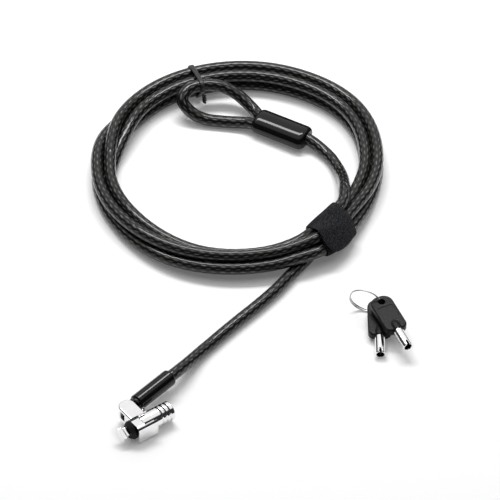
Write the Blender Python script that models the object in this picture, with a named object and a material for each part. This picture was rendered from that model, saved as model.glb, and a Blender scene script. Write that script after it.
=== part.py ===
"""Cable lock for a laptop: T-bar lock head, 1.8 m steel cable in a tied coil, end loop and two keys.

Frame: origin at the middle of the yoke's flat underside, which lies on the table.
+X runs along the lock barrel towards the keyhole, +Y towards the cable lug, +Z up. Units are metres.
"""
import math

import bmesh
import bpy
from mathutils import Matrix, Vector

MM = 0.001

# ---------------------------------------------------------------- driving dimensions, in millimetres
GAP = 0.3                     # clearance between neighbouring pieces
ROUND_SIDES = 40              # sides of a large turned piece
SMALL_SIDES = 16              # sides of a small turned piece
CUT_PAST = 3.0                # how far a cutter runs past the face it opens

# Yoke: the block that carries the barrel, and the forked lug that carries the cable
BLOCK_HALF_LENGTH = 5.2
BLOCK_HALF_WIDTH = 5.7
BLOCK_HEIGHT = 9.6
BLOCK_ROUNDING = 1.8          # of the block's long edges
FRONT_WALL_BACK = -1.2        # x where the yoke's front wall ends and the barrel bore begins
AXIS_HEIGHT = 5.0             # barrel axis above the table
PIVOT = Vector((-1.2, 9.0))   # cable pivot, seen from above
LUG_RADIUS = 4.0
LUG_BOTTOM = 4.0
LUG_TOP = 10.6
LUG_START_Y = 1.3             # where the lug's top plate begins, over the barrel
SLOT_BOTTOM = 5.35
SLOT_TOP = 9.25
SLOT_START_Y = 5.6
WINDOW_HALF_WIDTH = 4.75      # opening in the block's roof that shows the barrel
WINDOW_RISE = 4.84            # window's top above the barrel's axis, just under the lug's roof
CLIP_SEAT_RADIUS = 4.2
CLIP_SEAT_DEPTH = 0.9
PIVOT_ROOF = 0.7              # metal left over the pivot pin's hole

# Barrel and what it holds
BARREL_RADIUS = 4.55
BARREL_FRONT = -0.9
BARREL_BACK = 15.8
BARREL_CHAMFER = 0.3
BARREL_RIM = 0.6              # rounding at the keyhole end
NECK_RADIUS = 2.4
NECK_FRONT = -7.2
BORE_RADIUS = 3.2
BORE_FRONT = 1.1
BORE_BACK = 10.6
KEYHOLE_RADIUS = 2.75
GROOVES = (9.1, 11.2, 13.3)   # x of the three turned grooves
GROOVE_HALF_WIDTH = 0.5
GROOVE_DEPTH = 0.6
STEM_RADIUS = 0.95
PIN_CIRCLE_RADIUS = 2.05
PIN_RADIUS = 0.3
PIN_HOLE_RADIUS = 0.55
PIN_COUNT = 4
PIN_BLOCK_FLOOR = 0.6         # metal left under each spring
DRIVER_PIN_LENGTH = 1.4
KEY_PIN_PROUD = 0.2           # how far a key pin stands out of the plug at rest
SHEAR_GAP = 0.15              # each side of the shear line
STEM_FIT = 0.25               # clearance round the T-bar's stem
SPRING_TURNS = 4
SPRING_LENGTH = 1.3
SPRING_RADIUS = 0.3
SPRING_WIRE = 0.07
SHEAR_LINE = 6.15             # x of the plane between the fixed block and the turning plug
PLUG_BACK = 10.3
PIN_BLOCK_FRONT = 1.4
POST_RADIUS = 1.35
POST_BACK = 14.6
POST_SEAT = 0.3               # how deep the post sits in the T-bar's end
POST_CHAMFER = 0.2

# Nose and T-bar
NOSE_BACK = -5.5
NOSE_FRONT = -7.7
NOSE_BACK_RADIUS = 4.4
NOSE_FRONT_RADIUS = 3.05
NOSE_RIM = 0.4                # length of the straight rim at the nose's back
GUIDE_FRONT = -9.3
GUIDE_HALF_SIZE = (2.2, 1.4)
GUIDE_CORNER = 0.35
GUIDE_FIT = 0.2
CLIP_RADIUS = 3.9
CLIP_THICKNESS = 0.5
CLIP_HALF_OPENING = 25.0      # degrees
T_HEAD_BACK = -9.6
T_HEAD_FRONT = -11.4
T_HEAD_LENGTH = 6.2
T_HEAD_HEIGHT = 2.3
T_HEAD_CORNER = 0.45
T_STEM_SET_IN = 0.5           # stem's start inside the head
T_STEM_SHORT = 0.6            # stem's end inside the plug
BARREL_ROLL = 26.0            # how far the barrel, its guide and the T-bar are turned in the yoke

# Cable end at the lug
CABLE_RADIUS = 2.75
SLEEVE_ANGLE = 12.0           # sleeve's heading from +X
LUG_MIDDLE = 7.3              # height of the cable's axis in the lug
EYE_RADIUS = 3.1
EYE_HALF_THICKNESS = 1.6
PIVOT_PIN_RADIUS = 1.1
SHANK_RADIUS = 1.55
SHANK_START = 1.9             # distances from the pivot
COLLAR = (5.0, 5.8)
COLLAR_RADIUS = 3.2
SLEEVE = (6.1, 28.3)
SLEEVE_RADIUS = 3.85
SLEEVE_CHAMFER = 0.4
SLEEVE_ROLL = (1.2, 0.75)     # length and drop of the rounded end the cable leaves by
PIN_RECESS = 0.1              # pivot pin below the lug's underside
PIN_TOP_DROP = 1.0
CRIMP_RADIUS = 2.7

# Coil of cable
COIL_CENTRE = Vector((129.0, 105.0))
COIL_INNER = 52.5
COIL_OUTER = 65.3
COIL_BOTTOM = 1.3
COIL_TOP = 12.1
COIL_CORNER = 3.2
STRAP_ANGLE = -81.6           # ring angle of the strap
STRAP_HALF_SPAN = 8.4         # half of the strap's width, as degrees along the ring
STRAP_THICKNESS = 0.9
TIE_ANGLE = 73.0
TIE_HALF_SPAN = 0.8
TIE_THICKNESS = 0.8
LEAD_IN_STRAP = (57.5, 15.2)  # radius and height of the lead where the strap holds it
LOOP_AT_TIE = (49.6, 11.6)    # radius and height of the end loop where the tie holds it
BELT_POINTS = 40              # points round a strap's or a tie's section
FLAP_SPAN = (36, 47)          # which of them the strap's hook end covers, on the outer side

# Ferrule that closes the end loop
FERRULE_CENTRE = Vector((159.3, 113.9, 4.0))
FERRULE_HEADING = -61.4       # from the loop towards the coil
FERRULE_LENGTH = 26.0
FERRULE_WIDTH = 12.4
FERRULE_HEIGHT = 7.8
FERRULE_ENDS = (1.9, 1.7)     # length of a rounded end and how far it draws in
FERRULE_END_WALL = 2.2
FERRULE_HOLLOW = (9.8, 5.0)   # width and height
FERRULE_MOUTH_RADIUS = 1.9
CRIMP_SLEEVE = (9.1, 4.3)     # width and height of the metal crimp inside
CRIMP_SLEEVE_END = 2.6        # its distance from the ferrule's end
LOOP_LEG_OFFSET = 2.95        # each leg's distance from the ferrule's axis

# Keys and ring
BOW_LENGTH = 21.0
BOW_WIDTH = 10.4
BOW_THICKNESS = 3.8
BOW_HOLE_RADIUS = 2.1
HOLE_FROM_END = 3.6
BOW_TOP_CORNER = 4.4
BOW_FOOT = ((3.6, 0.0), (2.6, 0.3), (0.6, 2.0), (0.0, 3.2))   # (from the end, in from the side)
BOSS_RADIUS = 2.75
BOSS_PROFILE = ((8.0, 1.2), (5.0, 2.2), (3.0, BOSS_RADIUS), (0.0, BOSS_RADIUS))
TONGUE_HALF_SIZE = (1.8, 0.8)
TONGUE_LENGTH = 6.3           # of the tube's flat tongue inside the bow
SOCKET_DEPTH = 6.6
KEY_TUBE_CHAMFER = (0.3, 0.25)
KEY_TUBE_FLOOR = 2.0          # solid length before the tube's bore
NOTCH_LENGTH = 2.6
NOTCH_HALF_WIDTH = 0.55
NOTCH_FROM_AXIS = 1.0
KEY_TUBE_RADIUS = 2.4
KEY_TUBE_BORE = 1.7
KEY_TUBE_LENGTH = 10.0
KEY_A = dict(hole=Vector((128.9, -2.15, 4.15)), heading=-124.7, pitch=3.6)
KEY_B = dict(hole=Vector((128.3, -4.9, 8.8)), heading=-100.8, pitch=3.4)
RING_RADIUS = 7.3
RING_WIRE = 0.34
RING_CENTRE = Vector((124.65, 1.84, 7.8))
RING_HEADING = -52.5          # direction of the ring's plane, seen from above
RING_LEAN = 9.1
RING_TURNS = 1.3
RING_PITCH = 1.2              # sideways travel from one wire end to the other
RING_START = 165.0            # degrees

# Cable routes that are not coiled: points on the cable's centre line
TAIL_ROUTE = [(26.8, 14.95, 7.3), (32.0, 16.3, 6.9), (38.5, 18.8, 5.3), (48.9, 22.8, 3.2),
              (58.0, 25.3, 2.8), (67.3, 27.6, 2.8), (76.0, 29.6, 2.8), (85.2, 31.6, 2.8),
              (93.0, 33.5, 2.8), (99.0, 35.2, 2.8), (104.0, 37.0, 2.8), (108.0, 38.6, 2.8)]
LEAD_ROUTE = [(133.0, 47.6, 15.2), (139.0, 48.4, 15.2), (146.7, 50.4, 15.2), (152.5, 54.4, 15.0),
              (157.4, 60.4, 14.2), (161.3, 67.4, 11.6), (165.0, 74.4, 7.6), (167.6, 81.6, 4.2),
              (169.0, 88.6, 3.0), (168.8, 94.4, 3.3), (167.5, 98.8, 3.8), (166.0, 101.6, 4.0)]
LOOP_ROUTE = [(149.9, 124.9, 4.0), (148.4, 127.6, 3.9), (143.4, 134.4, 3.2), (137.4, 141.2, 3.6),
              (132.9, 147.2, 6.6), (132.6, 151.6, 10.0), (137.6, 153.7, 11.6), (145.6, 151.8, 11.6),
              (152.4, 147.6, 10.6), (157.2, 141.8, 7.4), (158.0, 136.4, 5.2), (155.6, 132.2, 4.3),
              (154.2, 129.6, 4.0), (155.1, 127.8, 4.0)]


# ---------------------------------------------------------------- general helpers
def clear_scene():
    for obj in list(bpy.data.objects):
        bpy.data.objects.remove(obj, do_unlink=True)


def material(name, colour, roughness, metallic=0.0):
    made = bpy.data.materials.get(name)
    if made is None:
        made = bpy.data.materials.new(name)
        made.use_nodes = True
        shader = made.node_tree.nodes["Principled BSDF"]
        shader.inputs["Base Color"].default_value = (*colour, 1.0)
        shader.inputs["Roughness"].default_value = roughness
        shader.inputs["Metallic"].default_value = metallic
    return made


def chrome():
    return material("bright_chrome", (0.82, 0.82, 0.83), 0.12, 1.0)


def steel():
    return material("plain_steel", (0.62, 0.62, 0.64), 0.3, 1.0)


def brass():
    return material("brass", (0.72, 0.55, 0.26), 0.3, 1.0)


def black_plastic():
    return material("gloss_black_plastic", (0.02, 0.02, 0.02), 0.2)


def key_plastic():
    return material("matte_grey_plastic", (0.07, 0.07, 0.075), 0.6)


def rubber():
    return material("black_rubber", (0.03, 0.03, 0.032), 0.7)


def cable_jacket():
    return material("cable_jacket", (0.06, 0.055, 0.05), 0.2)


def fabric():
    return material("charcoal_fabric", (0.06, 0.06, 0.065), 0.95)


def empty(name, location=(0, 0, 0), parent=None):
    made = bpy.data.objects.new(name, None)
    bpy.context.collection.objects.link(made)
    made.location = Vector(location) * MM
    made.parent = parent
    return made


def finish_mesh(name, mesh_builder, paint, parent=None, smooth_angle=35.0):
    """Turn a bmesh drawn in millimetres into an object in metres."""
    bmesh.ops.remove_doubles(mesh_builder, verts=mesh_builder.verts, dist=1e-5)
    bmesh.ops.recalc_face_normals(mesh_builder, faces=mesh_builder.faces)
    bmesh.ops.scale(mesh_builder, vec=(MM, MM, MM), verts=mesh_builder.verts)
    mesh = bpy.data.meshes.new(name)
    mesh_builder.to_mesh(mesh)
    mesh_builder.free()
    mesh.shade_smooth()
    mesh.set_sharp_from_angle(angle=math.radians(smooth_angle))
    obj = bpy.data.objects.new(name, mesh)
    bpy.context.collection.objects.link(obj)
    obj.parent = parent
    if paint is not None:
        mesh.materials.append(paint)
    return obj


def prism(bm, outline, low, high):
    """Closed prism over an anticlockwise (x, y) outline, from height low to high."""
    count = len(outline)
    floor = [bm.verts.new((x, y, low)) for x, y in outline]
    roof = [bm.verts.new((x, y, high)) for x, y in outline]
    bm.faces.new(floor[::-1])
    bm.faces.new(roof)
    for i in range(count):
        j = (i + 1) % count
        bm.faces.new((floor[i], floor[j], roof[j], roof[i]))


def arc(centre, radius, start, end, steps):
    """Points on an arc, angles in degrees, both ends included."""
    points = []
    for i in range(steps + 1):
        angle = math.radians(start + (end - start) * i / steps)
        points.append((centre[0] + radius * math.cos(angle), centre[1] + radius * math.sin(angle)))
    return points


def circle(centre, radius, sides):
    """Anticlockwise points of a whole circle."""
    return arc(centre, radius, 0, 360 - 360 / sides, sides - 1)


def rounded_box(half_x, half_y, corner, steps=4):
    """Anticlockwise outline of a rectangle with round corners, about the origin."""
    points = []
    corners = ((1, -1, -90), (1, 1, 0), (-1, 1, 90), (-1, -1, 180))
    for sign_x, sign_y, start in corners:
        centre = (sign_x * (half_x - corner), sign_y * (half_y - corner))
        points += arc(centre, corner, start, start + 90, steps)
    return points


def turned(bm, profile, sides, axis="X"):
    """Revolve a closed (along, radius) profile about an axis, the profile clear of the axis."""
    rings = []
    for i in range(sides):
        angle = 2 * math.pi * i / sides
        c, s = math.cos(angle), math.sin(angle)
        if axis == "X":
            rings.append([bm.verts.new((a, r * c, r * s)) for a, r in profile])
        else:
            rings.append([bm.verts.new((r * c, r * s, a)) for a, r in profile])
    count = len(profile)
    for i in range(sides):
        this, following = rings[i], rings[(i + 1) % sides]
        for k in range(count):
            m = (k + 1) % count
            bm.faces.new((this[k], this[m], following[m], following[k]))


def solid_turned(bm, profile, sides):
    """Revolve an open (along, radius) profile about X and close both ends with flat caps."""
    rings = []
    for a, r in profile:
        ring = []
        for i in range(sides):
            angle = 2 * math.pi * i / sides
            ring.append(bm.verts.new((a, r * math.cos(angle), r * math.sin(angle))))
        rings.append(ring)
    for this, following in zip(rings, rings[1:]):
        for i in range(sides):
            j = (i + 1) % sides
            bm.faces.new((this[i], this[j], following[j], following[i]))
    bm.faces.new(rings[0][::-1])
    bm.faces.new(rings[-1])


def place(bm, matrix):
    bmesh.ops.transform(bm, matrix=matrix, verts=bm.verts)


def boolean(target, cutter, operation):
    cutter.hide_render = True
    cutter.display_type = "WIRE"
    step = target.modifiers.new(operation.lower(), "BOOLEAN")
    step.operation = operation
    step.object = cutter
    step.solver = "EXACT"


def box_mesh(bm, low, high):
    outline = [(low[0], low[1]), (high[0], low[1]), (high[0], high[1]), (low[0], high[1])]
    prism(bm, outline, low[2], high[2])


# ---------------------------------------------------------------- yoke
def build_yoke(pivot_empty):
    """Block and forked lug in one casting, bored for the barrel and slotted for the cable eye."""
    bm = bmesh.new()
    half = BLOCK_HALF_WIDTH
    outline = rounded_box(half, BLOCK_HEIGHT / 2, BLOCK_ROUNDING)
    prism(bm, outline, -BLOCK_HALF_LENGTH, BLOCK_HALF_LENGTH)
    lay_down = Matrix(((0, 0, 1, 0), (1, 0, 0, 0), (0, 1, 0, BLOCK_HEIGHT / 2), (0, 0, 0, 1)))
    place(bm, lay_down)
    yoke = finish_mesh("yoke_body", bm, chrome(), pivot_empty)
    move_under_parent(yoke, pivot_empty)

    lug = bmesh.new()
    left, right = PIVOT.x - LUG_RADIUS, PIVOT.x + LUG_RADIUS
    end = arc(PIVOT, LUG_RADIUS, 0, 180, 14)
    prism(lug, [(left, LUG_START_Y), (right, LUG_START_Y), *end], LUG_BOTTOM, LUG_TOP)
    add_tool(yoke, "lug_shape", lug, "UNION", pivot_empty)

    bore = bmesh.new()
    bore_radius = BARREL_RADIUS + GAP
    bore_back = BLOCK_HALF_LENGTH + CUT_PAST
    solid_turned(bore, [(FRONT_WALL_BACK, bore_radius), (bore_back, bore_radius)], ROUND_SIDES)
    place(bore, Matrix.Translation((0, 0, AXIS_HEIGHT)))
    add_tool(yoke, "barrel_bore_cut", bore, "DIFFERENCE", pivot_empty)

    neck = bmesh.new()
    clip_seat = -BLOCK_HALF_LENGTH + CLIP_SEAT_DEPTH
    neck_hole = NECK_RADIUS + GAP
    wall = [(-BLOCK_HALF_LENGTH - CUT_PAST, CLIP_SEAT_RADIUS), (clip_seat, CLIP_SEAT_RADIUS),
            (clip_seat, neck_hole), (FRONT_WALL_BACK + CUT_PAST / 6, neck_hole)]
    solid_turned(neck, wall, 24)
    place(neck, Matrix.Translation((0, 0, AXIS_HEIGHT)))
    add_tool(yoke, "neck_bore_cut", neck, "DIFFERENCE", pivot_empty)

    window = bmesh.new()
    box_mesh(window, (FRONT_WALL_BACK, -WINDOW_HALF_WIDTH, AXIS_HEIGHT),
             (bore_back, WINDOW_HALF_WIDTH, AXIS_HEIGHT + WINDOW_RISE))
    add_tool(yoke, "barrel_window_cut", window, "DIFFERENCE", pivot_empty)

    slot = bmesh.new()
    box_mesh(slot, (left - CUT_PAST, SLOT_START_Y, SLOT_BOTTOM),
             (right + CUT_PAST, PIVOT.y + LUG_RADIUS + CUT_PAST, SLOT_TOP))
    add_tool(yoke, "eye_slot_cut", slot, "DIFFERENCE", pivot_empty)

    hole = bmesh.new()
    prism(hole, circle(PIVOT, PIVOT_PIN_RADIUS + GAP, 16), LUG_BOTTOM - CUT_PAST, LUG_TOP - PIVOT_ROOF)
    add_tool(yoke, "pivot_hole_cut", hole, "DIFFERENCE", pivot_empty)
    return yoke


def move_under_parent(obj, parent):
    """Keep a piece drawn in world coordinates in place under an empty."""
    obj.matrix_parent_inverse = Matrix.Translation(-parent_origin(parent))


def parent_origin(parent):
    total = Vector((0, 0, 0))
    while parent is not None:
        total += parent.location
        parent = parent.parent
    return total


def add_tool(target, name, bm, operation, parent):
    tool = finish_mesh(name, bm, None, parent)
    move_under_parent(tool, parent)
    boolean(target, tool, operation)


def world_piece(name, bm, paint, parent, smooth_angle=35.0):
    """A piece drawn in world coordinates that hangs under its joint's empty."""
    obj = finish_mesh(name, bm, paint, parent, smooth_angle)
    if parent is not None:
        move_under_parent(obj, parent)
    return obj


# ---------------------------------------------------------------- barrel and inside
def on_axis(bm):
    place(bm, Matrix.Translation((0, 0, AXIS_HEIGHT)))


def rolled_to_axis():
    """Carries a piece drawn in the XY plane and raised along Z onto the barrel's axis, rolled with it."""
    roll = Matrix.Rotation(math.radians(BARREL_ROLL), 4, "X")
    z_to_x = Matrix(((0, 0, 1, 0), (1, 0, 0, 0), (0, 1, 0, 0), (0, 0, 0, 1)))
    return Matrix.Translation((0, 0, AXIS_HEIGHT)) @ roll @ z_to_x


def build_barrel(parent):
    """Turned housing: neck through the yoke, plug bore, round keyhole and three outer grooves."""
    profile = [(NECK_FRONT, NECK_RADIUS), (BARREL_FRONT, NECK_RADIUS),
               (BARREL_FRONT, BARREL_RADIUS - BARREL_CHAMFER), (BARREL_FRONT + BARREL_CHAMFER, BARREL_RADIUS)]
    for groove in GROOVES:
        profile += [(groove - GROOVE_HALF_WIDTH, BARREL_RADIUS), (groove, BARREL_RADIUS - GROOVE_DEPTH),
                    (groove + GROOVE_HALF_WIDTH, BARREL_RADIUS)]
    profile += arc((BARREL_BACK - BARREL_RIM, BARREL_RADIUS - BARREL_RIM), BARREL_RIM, 90, 0, 4)
    profile += [(BARREL_BACK, KEYHOLE_RADIUS), (BORE_BACK, KEYHOLE_RADIUS), (BORE_BACK, BORE_RADIUS),
                (BORE_FRONT, BORE_RADIUS), (BORE_FRONT, STEM_RADIUS + GAP), (NECK_FRONT, STEM_RADIUS + GAP)]
    bm = bmesh.new()
    turned(bm, profile, ROUND_SIDES)
    on_axis(bm)
    world_piece("lock_barrel", bm, chrome(), parent)


def build_nose(parent):
    """Rubber pad, guide block that fills the security slot, and the clip that keeps the yoke on."""
    pad = bmesh.new()
    hole = NECK_RADIUS + GAP
    profile = [(NOSE_BACK, hole), (NOSE_BACK, NOSE_BACK_RADIUS), (NOSE_BACK - NOSE_RIM, NOSE_BACK_RADIUS),
               (NOSE_FRONT, NOSE_FRONT_RADIUS), (NOSE_FRONT, hole)]
    turned(pad, profile[::-1], 32)
    on_axis(pad)
    world_piece("nose_pad", pad, rubber(), parent)

    guide = bmesh.new()
    outer = rounded_box(*GUIDE_HALF_SIZE, GUIDE_CORNER, 2)
    prism(guide, outer, GUIDE_FRONT, NECK_FRONT - GAP)
    place(guide, rolled_to_axis())
    block = world_piece("slot_guide", guide, chrome(), parent)
    bore = bmesh.new()
    around_stem = STEM_RADIUS + GUIDE_FIT
    cut = [(GUIDE_FRONT - CUT_PAST, around_stem), (NECK_FRONT + CUT_PAST, around_stem)]
    solid_turned(bore, cut, SMALL_SIDES)
    on_axis(bore)
    add_tool(block, "guide_bore_cut", bore, "DIFFERENCE", parent)

    clip = bmesh.new()
    first, last = CLIP_HALF_OPENING, 360 - CLIP_HALF_OPENING
    points = arc((0, 0), CLIP_RADIUS, first, last, 20) + arc((0, 0), hole, last, first, 20)
    front = -BLOCK_HALF_LENGTH + 0.1
    prism(clip, points, front, front + CLIP_THICKNESS)
    place(clip, rolled_to_axis())
    world_piece("yoke_retaining_clip", clip, steel(), parent)


def pin_centres():
    for k in range(PIN_COUNT):
        angle = math.radians(BARREL_ROLL + 45 + 360 * k / PIN_COUNT)
        yield k + 1, PIN_CIRCLE_RADIUS * math.cos(angle), PIN_CIRCLE_RADIUS * math.sin(angle) + AXIS_HEIGHT


def drilled_cylinder(name, front, back, paint, parent, hole_front, hole_back):
    """A round block with a hole for the T-bar's stem and a ring of holes for the pins."""
    profile = [(front, STEM_RADIUS + STEM_FIT), (back, STEM_RADIUS + STEM_FIT), (back, BORE_RADIUS - GAP),
               (front, BORE_RADIUS - GAP)]
    bm = bmesh.new()
    turned(bm, profile[::-1], 32)
    on_axis(bm)
    block = world_piece(name, bm, paint, parent)
    for number, y, z in pin_centres():
        hole = bmesh.new()
        solid_turned(hole, [(hole_front, PIN_HOLE_RADIUS), (hole_back, PIN_HOLE_RADIUS)], 12)
        place(hole, Matrix.Translation((0, y, z)))
        add_tool(block, f"{name}_hole_cut_{number}", hole, "DIFFERENCE", parent)


def build_tumblers(barrel_empty, plug_empty, driver_empty, key_pin_empty):
    """Fixed pin block and turning plug, with a spring, a driver pin and a key pin in each hole."""
    driver_back, key_pin_front = SHEAR_LINE - SHEAR_GAP, SHEAR_LINE + SHEAR_GAP
    spring_seat = PIN_BLOCK_FRONT + PIN_BLOCK_FLOOR
    drilled_cylinder("pin_block", PIN_BLOCK_FRONT, driver_back, brass(), barrel_empty,
                     spring_seat, SHEAR_LINE + CUT_PAST)
    drilled_cylinder("plug_core", key_pin_front, PLUG_BACK, brass(), plug_empty,
                     SHEAR_LINE - CUT_PAST, PLUG_BACK + CUT_PAST)
    for number, y, z in pin_centres():
        driver = bmesh.new()
        driver_front = driver_back - DRIVER_PIN_LENGTH
        solid_turned(driver, [(driver_front, PIN_RADIUS), (driver_back, PIN_RADIUS)], 10)
        place(driver, Matrix.Translation((0, y, z)))
        world_piece(f"driver_pin_{number}", driver, steel(), driver_empty)
        key_pin = bmesh.new()
        solid_turned(key_pin, [(key_pin_front, PIN_RADIUS), (PLUG_BACK + KEY_PIN_PROUD, PIN_RADIUS)], 10)
        place(key_pin, Matrix.Translation((0, y, z)))
        world_piece(f"key_pin_{number}", key_pin, brass(), key_pin_empty)
        build_spring(f"pin_spring_{number}", (spring_seat + SHEAR_GAP, y, z), barrel_empty)


def build_spring(name, start, parent):
    """Compression spring of a pin, wound along X, drawn at its pressed length."""
    count = SPRING_TURNS * 9
    points = []
    for i in range(count + 1):
        angle = 2 * math.pi * SPRING_TURNS * i / count
        points.append((start[0] + SPRING_WIRE + SPRING_LENGTH * i / count,
                       start[1] + SPRING_RADIUS * math.cos(angle),
                       start[2] + SPRING_RADIUS * math.sin(angle)))
    tube(name, points, SPRING_WIRE, steel(), parent, resolution=0)


def build_t_bar(parent):
    """T-bar: flat head on a round stem that runs back through the pin block into the plug."""
    head = bmesh.new()
    outline = rounded_box(T_HEAD_LENGTH / 2, T_HEAD_HEIGHT / 2, T_HEAD_CORNER, 3)
    prism(head, outline, T_HEAD_FRONT, T_HEAD_BACK)
    place(head, rolled_to_axis())
    t_bar = world_piece("t_bar", head, chrome(), parent)
    stem = bmesh.new()
    solid_turned(stem, [(T_HEAD_FRONT + T_STEM_SET_IN, STEM_RADIUS), (PLUG_BACK - T_STEM_SHORT, STEM_RADIUS)],
                 SMALL_SIDES)
    on_axis(stem)
    add_tool(t_bar, "t_bar_stem", stem, "UNION", parent)

    post = bmesh.new()
    front = PLUG_BACK - POST_SEAT
    profile = [(front, STEM_RADIUS), (PLUG_BACK + GAP, STEM_RADIUS), (PLUG_BACK + GAP, POST_RADIUS),
               (POST_BACK - POST_CHAMFER, POST_RADIUS), (POST_BACK, POST_RADIUS - POST_CHAMFER)]
    solid_turned(post, profile, 20)
    on_axis(post)
    world_piece("keyway_post", post, steel(), parent)


# ---------------------------------------------------------------- cable end at the lug
def sleeve_matrix():
    turn = Matrix.Rotation(math.radians(SLEEVE_ANGLE), 4, "Z")
    return Matrix.Translation((PIVOT.x, PIVOT.y, LUG_MIDDLE)) @ turn


def build_cable_end(root):
    pin = bmesh.new()
    prism(pin, circle(PIVOT, PIVOT_PIN_RADIUS, 20), LUG_BOTTOM + PIN_RECESS, LUG_TOP - PIN_TOP_DROP)
    world_piece("pivot_pin", pin, steel(), root)

    eye = bmesh.new()
    prism(eye, circle((0, 0), EYE_RADIUS, 28), -EYE_HALF_THICKNESS, EYE_HALF_THICKNESS)
    place(eye, sleeve_matrix())
    cable_eye = world_piece("cable_eye", eye, chrome(), root)
    shank = bmesh.new()
    roll_length, roll_drop = SLEEVE_ROLL
    step = SLEEVE[0] + 0.1
    profile = [(SHANK_START, SHANK_RADIUS), (step, SHANK_RADIUS), (step, CRIMP_RADIUS),
               (SLEEVE[1] - roll_length, CRIMP_RADIUS)]
    solid_turned(shank, profile, 20)
    place(shank, sleeve_matrix())
    add_tool(cable_eye, "eye_shank", shank, "UNION", root)
    hole = bmesh.new()
    prism(hole, circle((0, 0), PIVOT_PIN_RADIUS + GAP, 16), -CUT_PAST, CUT_PAST)
    place(hole, sleeve_matrix())
    add_tool(cable_eye, "eye_hole_cut", hole, "DIFFERENCE", root)

    collar = bmesh.new()
    inner = SHANK_RADIUS + GAP
    back, front = COLLAR
    turned(collar, [(front, inner), (front, COLLAR_RADIUS), (back, COLLAR_RADIUS), (back, inner)], 28)
    place(collar, sleeve_matrix())
    world_piece("sleeve_collar", collar, chrome(), root)

    start, end = SLEEVE
    bore = CABLE_RADIUS + GAP
    profile = [(start, bore), (start, SLEEVE_RADIUS - SLEEVE_CHAMFER),
               (start + SLEEVE_CHAMFER, SLEEVE_RADIUS)]
    for k in range(5):
        angle = math.radians(90 - 80 * k / 4)
        profile.append((end - roll_length + roll_length * math.cos(angle),
                        SLEEVE_RADIUS - roll_drop + roll_drop * math.sin(angle)))
    profile.append((end, bore))
    sleeve = bmesh.new()
    turned(sleeve, profile[::-1], 32)
    place(sleeve, sleeve_matrix())
    world_piece("strain_sleeve", sleeve, black_plastic(), root)


# ---------------------------------------------------------------- cable
def smooth_route(points, spacing):
    """Evenly spaced points on a Catmull-Rom curve through the route's points."""
    route = [Vector(p) for p in points]
    ends = [2 * route[0] - route[1], *route, 2 * route[-1] - route[-2]]
    dense = []
    for i in range(1, len(ends) - 2):
        a, b, c, d = ends[i - 1:i + 3]
        for k in range(20):
            t = k / 20
            dense.append(0.5 * (2 * b + (c - a) * t + (2 * a - 5 * b + 4 * c - d) * t * t
                                + (3 * b - a - 3 * c + d) * t ** 3))
    dense.append(route[-1])
    reach = [0.0]
    for p, q in zip(dense, dense[1:]):
        reach.append(reach[-1] + (q - p).length)
    pieces = max(2, round(reach[-1] / spacing))
    even, k = [], 0
    for i in range(pieces + 1):
        goal = reach[-1] * i / pieces
        while k < len(reach) - 2 and reach[k + 1] < goal:
            k += 1
        part = (goal - reach[k]) / (reach[k + 1] - reach[k])
        even.append(dense[k].lerp(dense[k + 1], part))
    return even


def tube(name, points, radius, paint, parent, resolution=2):
    """A round bar along a line of points, as a bevelled curve with filled ends."""
    data = bpy.data.curves.new(name, "CURVE")
    data.dimensions = "3D"
    data.bevel_depth = radius * MM
    data.bevel_resolution = resolution
    data.use_fill_caps = True
    spline = data.splines.new("POLY")
    spline.points.add(len(points) - 1)
    for control, point in zip(spline.points, points):
        control.co = (point[0] * MM, point[1] * MM, point[2] * MM, 1.0)
    data.materials.append(paint)
    obj = bpy.data.objects.new(name, data)
    bpy.context.collection.objects.link(obj)
    obj.parent = parent
    if parent is not None:
        move_under_parent(obj, parent)
    return obj


def build_cable(root):
    tube("cable_tail", smooth_route(TAIL_ROUTE, 7.0), CABLE_RADIUS, cable_jacket(), root)
    tube("cable_lead", smooth_route(LEAD_ROUTE, 6.0), CABLE_RADIUS, cable_jacket(), root)
    tube("cable_end_loop", smooth_route(LOOP_ROUTE, 4.5), CABLE_RADIUS, cable_jacket(), root)

    half_width = (COIL_OUTER - COIL_INNER) / 2
    half_height = (COIL_TOP - COIL_BOTTOM) / 2
    middle = (COIL_OUTER + COIL_INNER) / 2
    profile = []
    for x, y in rounded_box(half_height, half_width, COIL_CORNER, 2):
        profile.append(((COIL_TOP + COIL_BOTTOM) / 2 + x, middle + y))
    ring = bmesh.new()
    turned(ring, profile, 72, axis="Z")
    place(ring, Matrix.Translation((COIL_CENTRE.x, COIL_CENTRE.y, 0)))
    world_piece("cable_coil", ring, cable_jacket(), root)


# ---------------------------------------------------------------- strap and tie round the coil
def hull(points):
    """Convex outline of points in a plane, anticlockwise."""
    ordered = sorted(set(points))

    def chain(sequence):
        line = []
        for p in sequence:
            while len(line) > 1 and turn(line[-2], line[-1], p) <= 1e-9:
                line.pop()
            line.append(p)
        return line[:-1]
    return chain(ordered) + chain(ordered[::-1])


def turn(a, b, c):
    return (b[0] - a[0]) * (c[1] - a[1]) - (b[1] - a[1]) * (c[0] - a[0])


def belt(circles, clearance, thickness, samples=48):
    """Inner and outer outline of a band pulled tight round circles (radius, height, size)."""
    rims = []
    for extra in (clearance, clearance + thickness):
        points = []
        for centre_r, centre_z, size in circles:
            points += circle((centre_r, centre_z), size + extra, samples)
        rims.append(resample(hull(points), BELT_POINTS))
    return rims


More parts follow.
